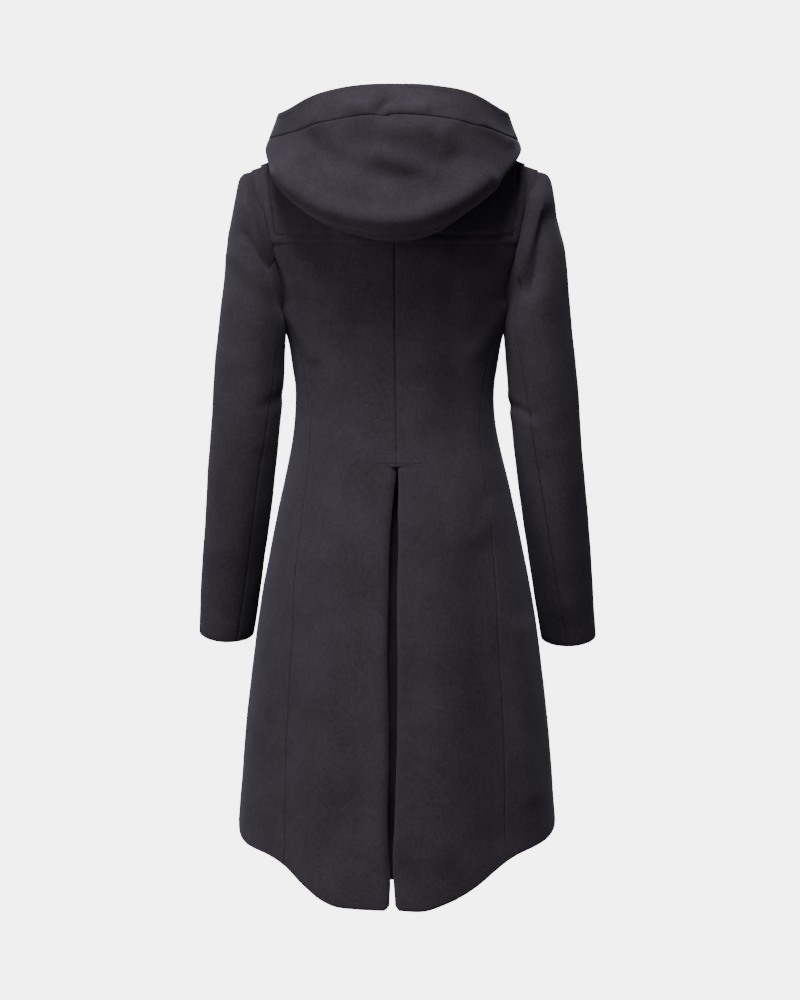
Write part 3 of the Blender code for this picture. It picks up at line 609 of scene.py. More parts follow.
def sheet(name, grids, relief, lift=0.0, roll=SEAM_ROLL, groove=None, thickness=CLOTH):
    """A wall of cloth with its creases, its rolled edges and a groove under the stitches."""
    points, faces = welded(grids)
    away = leans(points, faces)
    edge = from_edge(points, faces)
    out = np.full(len(points), lift)
    out -= roll[0] * np.clip(1 - edge / roll[1], 0, 1) ** 2 * (1 - sides_press(points))
    if roll is SEAM_ROLL:
        steep = np.clip(1 - edge / CREVICE[1], 0, 1) ** 2
        out -= CREVICE[0] * steep * (1 - sides_press(points)) * (1 - spot(points, *SHOULDER_SPOT))
    if groove:
        depth, at, width = groove
        out -= depth * np.exp(-(((edge - at) / width) ** 2))
    out += relief(points)
    cloth[name] = build(name + "_cloth", points + away * out[:, None], faces, thickness)


def mirrored(grid):
    return grid * np.array([-1, 1, 1])


print("the cloth's cells are", GRAIN * 1000, "mm")

# %% [markdown]
# ## Creases
#
# Heavy wool does not wrinkle finely: it bends in broad, soft ridges where it is pushed together and
# shallow troughs where it is pulled. Each crease is a line on the coat as seen from behind or from in
# front, with a width and a height. They differ from side to side, because two arms never hang alike.

# %% Crease tables
BEHIND, BEFORE = -1, 1
BODY_CREASES = table(
    "side x0 z0 x1 z1 width height",
    (BEHIND, -0.098, -0.215, -0.078, -0.400, 0.016, 0.0035),
    (BEHIND, -0.050, -0.230, -0.044, -0.400, 0.018, -0.0019),
    (BEHIND, 0.078, -0.200, 0.084, -0.420, 0.018, -0.0029),
    (BEHIND, 0.040, -0.240, 0.036, -0.380, 0.020, 0.0019),
    (BEHIND, -0.142, -0.236, -0.108, -0.292, 0.010, 0.0029),
    (BEHIND, 0.142, -0.228, 0.112, -0.285, 0.010, 0.0029),
    (BEHIND, -0.088, -0.560, -0.092, -0.900, 0.020, 0.0035),
    (BEHIND, -0.040, -0.620, -0.046, -0.960, 0.018, -0.0026),
    (BEHIND, 0.056, -0.580, 0.062, -0.960, 0.026, 0.0050),
    (BEHIND, 0.116, -0.560, 0.138, -0.930, 0.027, -0.0068),
    (BEHIND, 0.166, -0.660, 0.180, -0.880, 0.016, 0.0040),
    (BEHIND, 0.124, -0.480, 0.104, -0.520, 0.012, -0.0019),
    (BEFORE, -0.095, -0.190, -0.085, -0.330, 0.018, 0.0035),
    (BEFORE, 0.098, -0.200, 0.080, -0.340, 0.018, 0.0032),
    (BEFORE, -0.130, -0.330, -0.080, -0.350, 0.010, -0.0022),
    (BEFORE, 0.128, -0.322, 0.082, -0.350, 0.010, -0.0022),
    (BEFORE, -0.120, -0.560, -0.132, -0.860, 0.020, 0.0038),
    (BEFORE, 0.112, -0.580, 0.128, -0.880, 0.020, 0.0035),
    (BEFORE, 0.066, -0.600, 0.074, -0.880, 0.018, -0.0029),
    (BEFORE, -0.070, -0.610, -0.076, -0.860, 0.018, -0.0029),
)
SLEEVE_CREASES = table(
    "side x0 z0 x1 z1 width height",
    (BEHIND, -0.205, -0.128, -0.166, -0.172, 0.0066, -0.0060),
    (BEHIND, -0.200, -0.088, -0.166, -0.140, 0.0110, 0.0035),
    (BEHIND, -0.212, -0.158, -0.174, -0.200, 0.0120, 0.0042),
    (BEHIND, 0.2035, -0.108, 0.182, -0.200, 0.0120, -0.0105),
    (BEHIND, 0.188, -0.075, 0.170, -0.184, 0.0085, 0.0084),
    (BEHIND, 0.222, -0.150, 0.206, -0.225, 0.0200, 0.0030),
    (BEHIND, 0.150, -0.354, 0.180, -0.372, 0.0055, -0.0036),
    (BEHIND, 0.160, -0.370, 0.186, -0.386, 0.0075, 0.0012),
    (BEHIND, -0.150, -0.345, -0.176, -0.360, 0.0080, -0.0022),
    (BEHIND, 0.226, -0.420, 0.232, -0.640, 0.0160, 0.0019),
    (BEHIND, -0.228, -0.300, -0.238, -0.620, 0.0180, 0.0019),
    (BEHIND, -0.178, -0.430, -0.200, -0.640, 0.0120, -0.0019),
    (BEFORE, -0.160, -0.330, -0.226, -0.344, 0.0080, -0.0048),
    (BEFORE, -0.162, -0.356, -0.230, -0.364, 0.0090, 0.0038),
    (BEFORE, -0.168, -0.384, -0.222, -0.378, 0.0080, -0.0035),
    (BEFORE, 0.158, -0.322, 0.222, -0.340, 0.0080, -0.0045),
    (BEFORE, 0.160, -0.346, 0.228, -0.362, 0.0090, 0.0042),
    (BEFORE, 0.170, -0.382, 0.226, -0.384, 0.0080, -0.0032),
    (BEFORE, -0.206, -0.100, -0.166, -0.170, 0.0100, -0.0048),
    (BEFORE, 0.208, -0.104, 0.168, -0.176, 0.0100, -0.0051),
    (BEFORE, -0.218, -0.130, -0.180, -0.220, 0.0120, 0.0032),
    (BEFORE, 0.216, -0.136, 0.184, -0.226, 0.0120, 0.0032),
)


YOKE_PRESS = (0.0021, 0.0026)  # width and depth of the lines that the yoke's sides press in
BULGE, BULGE_SPOT = 0.0040, (0.150, -0.243, 0.016, 0.026)
FULLNESS, FULLNESS_SPOT = 0.0030, (0.150, -0.226, 0.018, 0.024)  # ease at the top of the side
SIDES_BLEND = 0.030  # depth over which creases behind give way to those in front
YOKE_PRESSED = ((-0.1825, -0.040, -0.1706, -0.138), (0.1765, -0.040, 0.1686, -0.138))


def from_line(x, z, x0, z0, x1, z1):
    """The distance from a straight line between two ends."""
    run, rise = x1 - x0, z1 - z0
    along = np.clip(((x - x0) * run + (z - z0) * rise) / (run * run + rise * rise), 0, 1)
    return np.hypot(x - x0 - along * run, z - z0 - along * rise)


def creased(rows, points):
    """How far the creases move these points out of the plain form."""
    x, y, z = points.T
    out = np.zeros(len(points))
    for side, x0, z0, x1, z1, width, height in zip(*rows.values()):
        there = np.clip(0.5 + side * y / SIDES_BLEND, 0, 1)
        bell = np.exp(-((from_line(x, z, x0, z0, x1, z1) / width) ** 2))
        out += height * bell * there * there * (3 - 2 * there)
    return out


def unevenness(points):
    """Broad, shallow waves that no panel is ever quite free of."""
    x, y, z = points.T
    slow = np.sin(31 * x + 17 * z + 2 * np.sin(11 * y)) * np.sin(23 * z - 13 * x + 9 * y)
    quick = np.sin(83 * z + 47 * x) * np.sin(71 * x - 29 * z + 37 * y)
    return 0.00055 * slow + 0.00016 * quick


def pressed(points):
    """Under the arm the sleeve and the side of the body bulge against each other."""
    return BULGE * spot(points, *BULGE_SPOT)


def body_relief(points):
    x, y, z = points.T
    full = FULLNESS * spot(points, *FULLNESS_SPOT)
    width, depth = YOKE_PRESS
    sunk = sum(depth * np.exp(-((from_line(x, z, *line) / width) ** 2)) for line in YOKE_PRESSED)
    return creased(BODY_CREASES, points) + unevenness(points) + pressed(points) + full - sunk * (y < 0)


def sleeve_relief(points):
    return creased(SLEEVE_CREASES, points) + unevenness(points) * 1.4 + pressed(points)


print(len(BODY_CREASES["side"]), "creases in the body,", len(SLEEVE_CREASES["side"]), "in the sleeves")

# %% [markdown]
# ## The back and its pleat
#
# The back is cut in two with a seam down the middle. Below the waist the seam opens into an inverted
# pleat: each half folds under on a soft roll and runs back behind, over an underlay that joins the two.
# The slit wanders a little, is widest half way down and opens at the hem.

# %% Back panels
PLEAT_TOP = -0.438
FOLD_RADIUS = 0.0042
RETURN_WIDTH = 0.052
UNDERLAY_HALF, UNDERLAY_HEM = 0.055, -0.997
UNDERLAY_DEPTH, UNDERLAY_SAG = 2 * FOLD_RADIUS + LAYER_GAP, 0.036
HEM_BACK = float(look(HEM, "level", 0.0, by="turn"))
BODY_LENGTH, SIDE_LENGTH = 1.08, 0.73
BACK_WIDTH, SIDE_WIDTH, FRONT_WIDTH = 0.15, 0.20, 0.17
SEAM_HAIR = -0.0001  # sewn edges press into each other by this much
CORNER = (0.0050, 0.0070)  # how far the hem's corner at the slit is rounded up, and over what width
CORNER_ROWS = 0.05  # the share of the rows over which that fades upwards
OPENING = 0.012  # length over which the seam opens into the pleat
YOKE_SEAM_COLUMNS = np.arange(0.86, 0.99, 0.011)  # closer columns where the yoke's side edge presses in
SOFT_FOLD = {"left": 0.0038, "right": 0.0006}  # how far in the cloth eases at the folds
SOFT_WIDTH = 0.0062
UNDERLAY_LOOSE = 0.040  # half the width over which the underlay sags


def half_of(sign):
    return "right" if sign > 0 else "left"


def trimmed(places, length):
    """Places that end at both seams."""
    hair = SEAM_HAIR / length
    return hair + places * (1 - 2 * hair)


def skin_at(x, level):
    return section(turn_at(x, level), level)


def eased(x):
    x = np.clip(x, 0, 1)
    return x * x * (3 - 2 * x)


def row_of(level):
    """The row of the back's middle at this level."""
    return (1 - RISE_SPAN) * (level - HEM_BACK) / (UNDERARM - HEM_BACK)


def back_grid(sign):
    """Half of the back with the cloth that is turned under, as it would be on the right."""
    rows = trimmed(spaced(BODY_LENGTH, also=[row_of(PLEAT_TOP)]), BODY_LENGTH)
    shares = trimmed(spaced(BACK_WIDTH, also=YOKE_SEAM_COLUMNS), BACK_WIDTH)
    level = HEM_BACK + (UNDERARM - HEM_BACK) * rows / (1 - RISE_SPAN)
    opened = eased((PLEAT_TOP + OPENING / 2 - level) / OPENING)
    edge = opened * look(PLEAT, "half_slit", level) + sign * look(PLEAT, "middle", level)
    start = turn_at(edge + FOLD_RADIUS * opened, level)
    plain = half_body(shares[None, :], rows[:, None], False, sign)

    def turn_of(levels, first):
        behind, _ = seam_turns(levels)
        return first + (behind - first) * shares[None, :]

    bottom = hem_level(turn_of(HEM_SIDE, 0.0), sign)
    levels = bottom + (UNDERARM - bottom) * np.clip(rows / (1 - RISE_SPAN), 0, 1)[:, None]
    shifted = spread(section(turn_of(levels, start[:, None]), levels), sign)
    main = np.where((rows > 1 - RISE_SPAN)[:, None, None], plain, shifted)
    arc = np.linspace(0, np.pi * FOLD_RADIUS, 9)
    beyond = np.arange(1, 10) / 9 * (RETURN_WIDTH - FOLD_RADIUS) + arc[-1]
    path = np.concatenate([arc[1:], beyond])[::-1]
    turned = np.minimum(path / FOLD_RADIUS, np.pi)
    across = FOLD_RADIUS * (1 - np.sin(turned)) + np.maximum(0, path - arc[-1])
    deep = FOLD_RADIUS * (1 - np.cos(turned))
    under = skin_at(edge[:, None] + across[None, :], np.minimum(level, UNDERARM)[:, None])
    under[:, :, 1] += deep[None, :]
    under[level > PLEAT_TOP + 1e-6] = np.nan
    grid = np.concatenate([under, main], axis=1)
    from_fold = np.abs(grid[:, :, 0] - edge[:, None])
    from_fold[:, : len(path)] *= (path < arc[-1] / 2)[None, :]
    dip = from_fold.copy()
    dip[:, : len(path)] = np.maximum(0, path - arc[-1])[None, :]
    grid[:, :, 1] += SOFT_FOLD[half_of(sign)] * np.exp(-((dip / SOFT_WIDTH) ** 2)) * opened[:, None]
    up = CORNER[0] * np.clip(1 - from_fold / CORNER[1], 0, 1) ** 2
    grid[:, :, 2] += up * np.clip(1 - rows / CORNER_ROWS, 0, 1)[:, None] * opened[:, None]
    return grid


def side_grid(sign):
    rows, shares = trimmed(spaced(SIDE_LENGTH), SIDE_LENGTH), trimmed(spaced(SIDE_WIDTH), SIDE_WIDTH)
    return side_body(shares[None, :], rows[:, None], sign)


def front_grid(sign):
    """A front. Its free edge passes the middle, and the right one lies over the left."""
    rows = trimmed(spaced(BODY_LENGTH), BODY_LENGTH)
    across = spaced(FRONT_WIDTH, low=EDGE_STEPS + STITCH_STEPS)
    shares = trimmed(-FRONT_OVERLAP + (1 + FRONT_OVERLAP) * across, FRONT_WIDTH)
    grid = half_body(shares[None, :], rows[:, None], True, sign)
    if sign > 0:
        grid[:, :, 1] += lap(shares)[None, :]
    return grid


for half, sign in (("left", -1), ("right", 1)):
    turned = mirrored if sign < 0 else (lambda grid: grid)
    flip = sign < 0
    sheet("back_" + half, [(turned(back_grid(sign)), flip)], body_relief)
    sheet("side_" + half, [(turned(side_grid(sign)), flip)], body_relief)
    sheet("front_" + half, [(turned(front_grid(sign)), not flip)], body_relief)

levels = np.linspace(HEM_BACK, PLEAT_TOP, 90)
levels = levels[levels > UNDERLAY_HEM]
across = np.linspace(-UNDERLAY_HALF, UNDERLAY_HALF, 23)
underlay = skin_at(across[None, :] + look(PLEAT, "middle", levels)[:, None], levels[:, None])
sag = UNDERLAY_SAG * np.clip(1 - (across / UNDERLAY_LOOSE) ** 2, 0, 1) ** 2
underlay[:, :, 1] += UNDERLAY_DEPTH + sag[None, :]
sheet("pleat_underlay", [(underlay, False)], lambda points: 0.0)
print({name: len(piece.data.polygons) for name, piece in cloth.items()})

# %% [markdown]
# ## Sleeves
#
# Each sleeve has an upper and an under piece, like a jacket's. It leaves the armhole with the
# armhole's own uneven outline, becomes a plain oval a hand's breadth below and bends a little forward
# at the elbow, so that its hind seam shows from behind and swings inwards on the way down.

# %% Sleeve panels
BACK_PART, SIDE_PART, LOOP = 7, 6, 20  # stretches of the armhole: behind, under the arm, all round
HIND_START, FORE_START = 5, 15
LOOP_FADE = (0.75, 0.45, 0.2, 0.06)
ARMHOLE_STEP = 0.0002
ARMHOLE_LAP = 0.0026  # the sleeve's edge is pressed into the armhole's by this much
ARM_REACH = 0.058
TOP_WIDTH, UNDER_WIDTH = 0.30, 0.13  # of its two pieces, roughly, to space the columns by


def armhole(j):
    """Points of the armhole; j is 0 at the shoulder seam and goes down behind and up in front."""
    j = np.mod(j, LOOP)
    behind = rising(1.0, 1 - np.clip(j / BACK_PART, 0, 1), front=False)
    under = side_body(np.clip((j - BACK_PART) / SIDE_PART, 0, 1), 1.0)
    ahead = rising(1.0, np.clip((j - BACK_PART - SIDE_PART) / BACK_PART, 0, 1), front=True)
    low, high = (j < BACK_PART)[:, None], (j > BACK_PART + SIDE_PART)[:, None]
    return np.where(low, behind, np.where(high, ahead, under))


def sleeve_rings(j, half):
    """Rings of the sleeve from the armhole to the cuff, as points at these places round it."""
    loop = armhole(j)
    top, bottom = armhole(np.array([0.0, BACK_PART + SIDE_PART / 2]))
    middle, reach = (top + bottom) / 2, np.linalg.norm(top - bottom) / 2
    along = ((loop - middle) @ (top - bottom)) / (2 * reach * reach)
    dense = armhole(np.linspace(0, LOOP, 400, endpoint=False))
    dense_along = ((dense - middle) @ (top - bottom)) / (2 * reach * reach)
    angles = np.unwrap(np.arctan2(-(dense[:, 1] - middle[1]) / ARM_REACH, dense_along))
    places = np.linspace(0, LOOP, 400, endpoint=False)
    own = np.interp(np.mod(j, LOOP), np.append(places, LOOP), np.append(angles - angles[0], 2 * np.pi))
    under = np.clip(0.5 - along / 2, 0, 1)
    rings = [loop + under[:, None] * np.array([ARMHOLE_STEP, 0, 0])]
    for ring in range(len(SLEEVE["out_x"])):
        size = {name: values[ring] for name, values in SLEEVE.items()}
        out = np.array([size["out_x"], size["middle_y"], size["out_z"]])
        inner = np.array([size["in_x"], size["middle_y"], size["in_z"]])
        hind, fore = (math.acos(2 * size[seam] - 1) for seam in ("hind_" + half, "fore"))
        known = [0, hind, 2 * np.pi - fore, 2 * np.pi]
        plain = np.interp(np.mod(j, LOOP), [0, HIND_START, FORE_START, LOOP], known)
        kept = LOOP_FADE[ring] if ring < len(LOOP_FADE) else 0.0
        angle = own * kept + plain * (1 - kept)
        point = mix(inner, out, 0.5 + 0.5 * np.cos(angle))
        back = size["depth"] * np.sin(angle)
        down = (ring / (len(SLEEVE["out_x"]) - 1)) ** 2
        swung = [SWAY[half][0] * down, 0, SWAY[half][1] * down]
        rings.append(point + stack(0.0, -back, -back * size["lean"]) + swung)
    return np.array(rings)


def run_of(line):
    """How far along a line of points each of them is."""
    return np.concatenate([[0], np.cumsum(np.linalg.norm(np.diff(line, axis=0), axis=1))])


def weights(places, count):
    """How much each of the known stations counts at these places along a soft curve through them."""
    return np.stack([smooth(places, np.arange(count), row) for row in np.eye(count)], axis=-1)


def sleeve_grid(first, last, half):
    """The upper or the under piece of a sleeve, from the armhole to the cuff."""
    width = TOP_WIDTH if last - first > LOOP / 2 else UNDER_WIDTH
    j = first + (last - first) * trimmed(spaced(width), width)
    rings = sleeve_rings(j, half)
    towards = rings[0] - rings[1]
    rings[0] += towards / np.linalg.norm(towards, axis=-1, keepdims=True) * ARMHOLE_LAP
    length = run_of(rings[:, len(j) // 2])
    rows = trimmed(spaced(length[-1], high=EDGE_STEPS + STITCH_STEPS), length[-1]) * length[-1]
    at_ring = np.interp(rows, length, np.arange(len(rings)))
    return np.einsum("rk,kjc->rjc", weights(at_ring, len(rings)), rings)


for half, sign in (("left", -1), ("right", 1)):
    turned = mirrored if sign < 0 else (lambda grid: grid)
    parts = (("top", FORE_START, LOOP + HIND_START), ("under", HIND_START, FORE_START))
    for part, first, last in parts:
        grid = turned(sleeve_grid(first, last, half))
        sheet(f"sleeve_{part}_{half}", [(grid, sign < 0)], sleeve_relief)
print("a sleeve's upper piece has", len(cloth["sleeve_top_left"].data.polygons), "faces")

# %% [markdown]
# ## The yoke
#
# The cape over the shoulders is the duffle coat's own rain cover. It is one layer of the same wool,
# caught at the neck and on the shoulders and otherwise free: its lower edge sinks onto the back and
# waves, and a row of stitching a finger's breadth inside the edge makes the border look padded.

# %% Yoke
YOKE_HEM_BACK, YOKE_HEM_FRONT = -0.142, -0.150
YOKE_NECK = 0.405
YOKE_SIDE = {"left": (0.985, 0.925), "right": (0.980, 0.895)}  # its side edge, at the hem and the top
YOKE_HEIGHT, YOKE_WIDTH = 0.15, 0.17
YOKE_LIFT = CLOTH + 0.0020
YOKE_NECK_ROW = 6.55 / 7
YOKE_GROOVE = (0.0034, 0.0118, 0.0018)  # depth, distance from the edge and width
YOKE_ROLL = (0.0026, 0.0045)


def rise_at_level(share, level, front):
    """How far up the rising part a column of the skin passes a level."""
    low, high = np.zeros(np.shape(share)), np.ones(np.shape(share))
    for _ in range(24):
        middle = (low + high) / 2
        below = rising(share, middle, front)[..., 2] < level
        low, high = np.where(below, middle, low), np.where(below, high, middle)
    return low


def yoke_grid(front, half):
    """Half of the yoke behind or in front, from its hem to the neck and the shoulder."""
    hem_steps = EDGE_STEPS + STITCH_STEPS
    up = spaced(YOKE_HEIGHT, low=hem_steps, high=())
    first = YOKE_NECK if front else 0.0
    across = spaced(YOKE_WIDTH, low=hem_steps if front else (), high=hem_steps)
    low, high = YOKE_SIDE[half]
    side = low + (high - low) * up
    share = first + (side - first)[:, None] * across[None, :]
    level = YOKE_HEM_FRONT if front else YOKE_HEM_BACK
    hem = rise_at_level(share[0], level, front)
    at_neck = np.interp(share[-1], [0.25, YOKE_NECK], [YOKE_NECK_ROW, 1.0])
    return rising(share, hem + (at_neck - hem) * up[:, None], front)


def yoke_relief(points):
    """The free edge behind sinks a little onto the back and waves."""
    x, y, z = points.T
    low = np.exp(-np.maximum(0, z - YOKE_HEM_BACK) / 0.022) * (y < 0)
    return unevenness(points) + low * (0.0006 * np.sin(58 * x + 0.6) - 0.0010)


yoke = []
for flip in (True, False):
    for front in (False, True):
        grid = yoke_grid(front, "left" if flip else "right")
        yoke.append((mirrored(grid) if flip else grid, flip != front))
sheet("yoke", yoke, yoke_relief, YOKE_LIFT, YOKE_ROLL, YOKE_GROOVE)
print("the yoke has", len(cloth["yoke"].data.polygons), "faces")

# %% [markdown]
# ## The hood
#
# The hood hangs down the back. An inner layer rises from the neckline and falls over backwards; the
# outer one turns up from the fold and ends in a wide edge band, whose rim is turned in and stitched.
# Its own weight bows the lower edge into a thick roll, and above the roll the cloth sinks in.

# %% Hood
HOOD_CREASES = (
    # height, width, then the line as distances to the right of the middle and heights
    (0.0125, 0.0160, ((-0.148, -0.046), (-0.135, -0.062), (-0.116, -0.077), (-0.088, -0.095),
                      (-0.046, -0.107), (0.000, -0.111), (0.041, -0.104), (0.078, -0.087),
                      (0.104, -0.069), (0.120, -0.056))),
    (-0.0085, 0.0180, ((-0.128, 0.004), (-0.100, -0.020), (-0.065, -0.038), (-0.025, -0.053),
                       (0.010, -0.055), (0.040, -0.049), (0.064, -0.038), (0.082, -0.030))),
    (-0.0045, 0.0150, ((-0.055, -0.004), (-0.005, -0.012), (0.028, -0.018), (0.048, -0.018))),
    (0.0062, 0.0110, ((-0.020, -0.024), (0.000, -0.031), (0.024, -0.041), (0.050, -0.048))),
    (-0.0060, 0.0065, ((-0.010, 0.048), (-0.019, 0.036), (-0.010, 0.028))),
    (0.0050, 0.0090, ((-0.060, 0.040), (-0.036, 0.038))),
    (0.0036, 0.0075, ((0.000, 0.036), (0.040, 0.039))),
    (-0.0024, 0.0110, ((0.020, 0.058), (0.060, 0.056))),
    (0.0026, 0.0100, ((-0.010, 0.008), (0.040, 0.014))),
    (0.0030, 0.0130, ((-0.135, 0.006), (-0.105, 0.022))),
    (0.0040, 0.0100, ((0.118, 0.018), (0.150, -0.004))),
    (0.0026, 0.0120, ((0.085, 0.020), (0.060, 0.006))),
)
HOOD_GRAIN = GRAIN * 0.75
# The fold's seam, as a place on the section: it slips under on the left and shows on the right
FOLD_LINE = table(
    "turn place", (-172, 5.0), (-70, 4.9), (-30, 4.45), (0, 4.75), (20, 4.95), (50, 5.0), (172, 5.0)
)
FOLD_SEAM, BAND_SEAM, RIM = 5, 7, 8
NECK_STEP, NECK_SEAM_GAP = 0.0045, 0.0012
STAND = (0.010, 0.012)  # from the neckline, outwards and up, to the inner layer's first bend
UNDER = (0.011, 0.010)  # from the fold, inwards and up, to its last bend
ARCH = (0.002, 0.006)  # how far it arches outwards and up between the two
ROLL_SHARES = (0.5, 0.28)  # where the outer layer's roll is on the way from the fold to the belly
HOOD_END, HOOD_AROUND = 172, 0.98  # degrees from the middle to its ends, and metres all round
HOOD_HEIGHTS = {"inner": 0.17, "outer": 0.13, "band": 0.05}  # roughly, to space the rows by
# How far the hood's sewn edge reaches down towards the panels' edges at the neckline
SEWN = table(
    "turn depth",
    (0, 0.0044), (20, 0.0056), (40, 0.0050), (60, 0.0037), (90, 0.0029), (110, 0.0036),
    (120, 0.0042), (130, 0.0070), (141, 0.0086), (150, 0.0059), (159, 0.0066), (172, 0.0076),
    (180, 0.0086),
)
RIM_STITCHES = 0.0075  # from the rim to its row of stitches
HOOD_ROLL = (0.0009, 0.0034)


def neckline(turn):
    """The neckline's points at these turns in degrees from the centre back."""
    size = np.abs(turn)
    back = top_edge(AT_NECK * np.clip(size, 0, 90) / 90, False)
    front = top_edge(AT_NECK * np.clip(180 - size, 0, 90) / 90, True)
    point = np.where((size > 90)[:, None], front, back)
    return point * stack(np.sign(turn) + (turn == 0), 1.0, 1.0)


def hood_grid(places, turns):
    """The hood's points. A row of places for each row, from the neck to the rim; turns go round."""
    size = {name: look(HOOD, name, turns, by="turn") for name in HOOD if name != "turn"}
    neck = neckline(turns)
    ahead = np.clip((np.abs(turns) - 90) / 90, 0, 1)
    neck_r = np.hypot(neck[:, 0], neck[:, 1])
    neck_z = neck[:, 2] + NECK_STEP * np.minimum(1, 2 * ahead)
    fold_r, fold_z, belly_r, belly_z = (size[n] for n in ("fold_r", "fold_z", "belly_r", "belly_z"))
    stand_r, stand_z = neck_r + STAND[0], neck_z + STAND[1]
    under_r, under_z = fold_r - UNDER[0], fold_z + UNDER[1]
    sewn_z = neck_z + NECK_SEAM_GAP - look(SEWN, "depth", np.abs(turns), by="turn")
    r = np.array([
        neck_r, stand_r, (stand_r + under_r) / 2 + ARCH[0], under_r, fold_r,
        fold_r + (belly_r - fold_r) * ROLL_SHARES[0], belly_r, size["seam_r"], size["rim_r"],
    ])
    z = np.array([
        sewn_z, stand_z, (stand_z + under_z) / 2 + ARCH[1], under_z, fold_z,
        fold_z + (belly_z - fold_z) * ROLL_SHARES[1], belly_z, size["seam_z"], size["rim_z"],
    ])
    along = weights(places, len(r))
    r, z = np.einsum("ptk,kt->pt", along, r), np.einsum("ptk,kt->pt", along, z)
    way = np.radians(turns)
    skew = np.arctan2(neck[:, 0], -neck[:, 1]) - way
    skew = np.where(np.abs(skew) > np.pi, skew - np.sign(skew) * 2 * np.pi, skew)
    way = way[None, :] + skew[None, :] * np.maximum(0, 1 - places)
    return stack(r * np.sin(way), -r * np.cos(way), z)


def hood_relief(points):
    """The folds of the fallen hood, and the same kind of folds where it lies over the shoulders."""
    x, y, z = points.T
    behind = np.clip(0.5 - (y + 0.040) / 0.040, 0, 1)
    out = np.zeros(len(points))
    for height, width, line in HOOD_CREASES:
        across, up = np.array(line).T
        steps = np.linspace(0, len(line) - 1, 8 * len(line))
        drawn = np.stack([smooth(steps, np.arange(len(line)), values) for values in (across, up)], -1)
        away = np.min([from_line(x, z, *a, *b) for a, b in zip(drawn[:-1], drawn[1:])], axis=0)
        out += height * np.exp(-((away / width) ** 2)) * behind
    turn = np.arctan2(x, -y)
    ahead = np.clip((np.abs(turn) - 1.5) / 0.5, 0, 1)
    out += ahead * (0.0022 * np.sin(7.5 * turn + 40 * z) + 0.0012 * np.sin(13 * turn - 55 * z))
    return out + unevenness(points)


def hood_sheet(layer, first, last, high=EDGE_STEPS, roll=HOOD_ROLL):
    turns = -HOOD_END + 2 * HOOD_END * spaced(HOOD_AROUND, grain=HOOD_GRAIN)
    line = look(FOLD_LINE, "place", turns, by="turn")
    start, stop = (line if at == FOLD_SEAM else np.full(len(turns), at) for at in (first, last))
    length = HOOD_HEIGHTS[layer]
    up = trimmed(spaced(length, high=high, grain=HOOD_GRAIN), length)[:, None]
    places = start + (stop - start) * up
    sheet("hood_" + layer, [(hood_grid(places, turns), False)], hood_relief, roll=roll)


hood_sheet("inner", 0, FOLD_SEAM)
hood_sheet("outer", FOLD_SEAM, BAND_SEAM)
hood_sheet("band", BAND_SEAM, RIM, EDGE_STEPS + (0.0062, RIM_STITCHES, 0.0088), SEAM_ROLL)
print("the hood has", sum(len(cloth["hood_" + n].data.polygons) for n in HOOD_HEIGHTS), "faces")

# %% [markdown]
# ## The stitched box over the pleat
#
# Where the pleat ends, a short strip of the same wool is sewn flat over it to take the strain. It is
# pressed so thin that only its stitched outline shows.

# %% Tab
TAB_TOP, TAB_HEIGHT, TAB_WIDTH = -0.4226, 0.0190, 0.0740
TAB_THICKNESS = 0.0012
TAB_MIDDLE = 0.0030
TAB_SEAM = (0.0010, 0.0011)  # depth and width of the dent where the seam below shows through
TAB_LIFT, TAB_ROLL, TAB_STITCHES = 0.0009, (0.0011, 0.0030), 0.0032
x = TAB_MIDDLE + np.linspace(-TAB_WIDTH / 2, TAB_WIDTH / 2, 91)
z = np.linspace(TAB_TOP - TAB_HEIGHT, TAB_TOP, 20)
tab = skin_at(x[None, :], z[:, None])


def tab_relief(points):
    depth, width = TAB_SEAM
    return body_relief(points) - depth * np.exp(-(((points[:, 0] - TAB_MIDDLE) / width) ** 2))


sheet(
    "back_tab", [(tab, False)], tab_relief, TAB_LIFT, TAB_ROLL,
    groove=(0.0009, TAB_STITCHES, 0.0010), thickness=TAB_THICKNESS,
)
print("the tab is", round(TAB_WIDTH * 1000), "mm wide")

# %% [markdown]
# ## Topstitching
#
# A sewing machine leaves stitches about four millimetres long that sink into thick wool. Each is made
# as a short length of thread with rounded ends, laid along a line that is drawn on the finished
# cloth, so that it follows every crease.

# %% Stitches
STITCH, STITCH_GAP, THREAD_RADIUS = 0.0036, 0.0013, 0.00034
FRONT_STITCHES, FRONT_ENDS = 0.012, 0.02  # from a front's free edge, and from its hem and neck
SIDES = ("bottom", "top", "first", "last")
# How a stitch swells: places along it, then thickness and height in radii
STITCH_SHAPE = ((0, 0.35, -0.3), (0.12, 0.9, 0.4), (0.5, 1.0, 0.8), (0.88, 0.9, 0.4), (1, 0.35, -0.3))
ROUND = 6  # sides of a stitch
STITCH_FACES = (len(STITCH_SHAPE) - 1) * ROUND + 2


def settle(name, points):
    """Points put onto the outside of a finished sheet, with the outward direction there."""
    piece = cloth[name]
    found = [piece.closest_point_on_mesh(Vector(p)) for p in points]
    return np.array([hit[1] for hit in found]), np.array([hit[2] for hit in found])


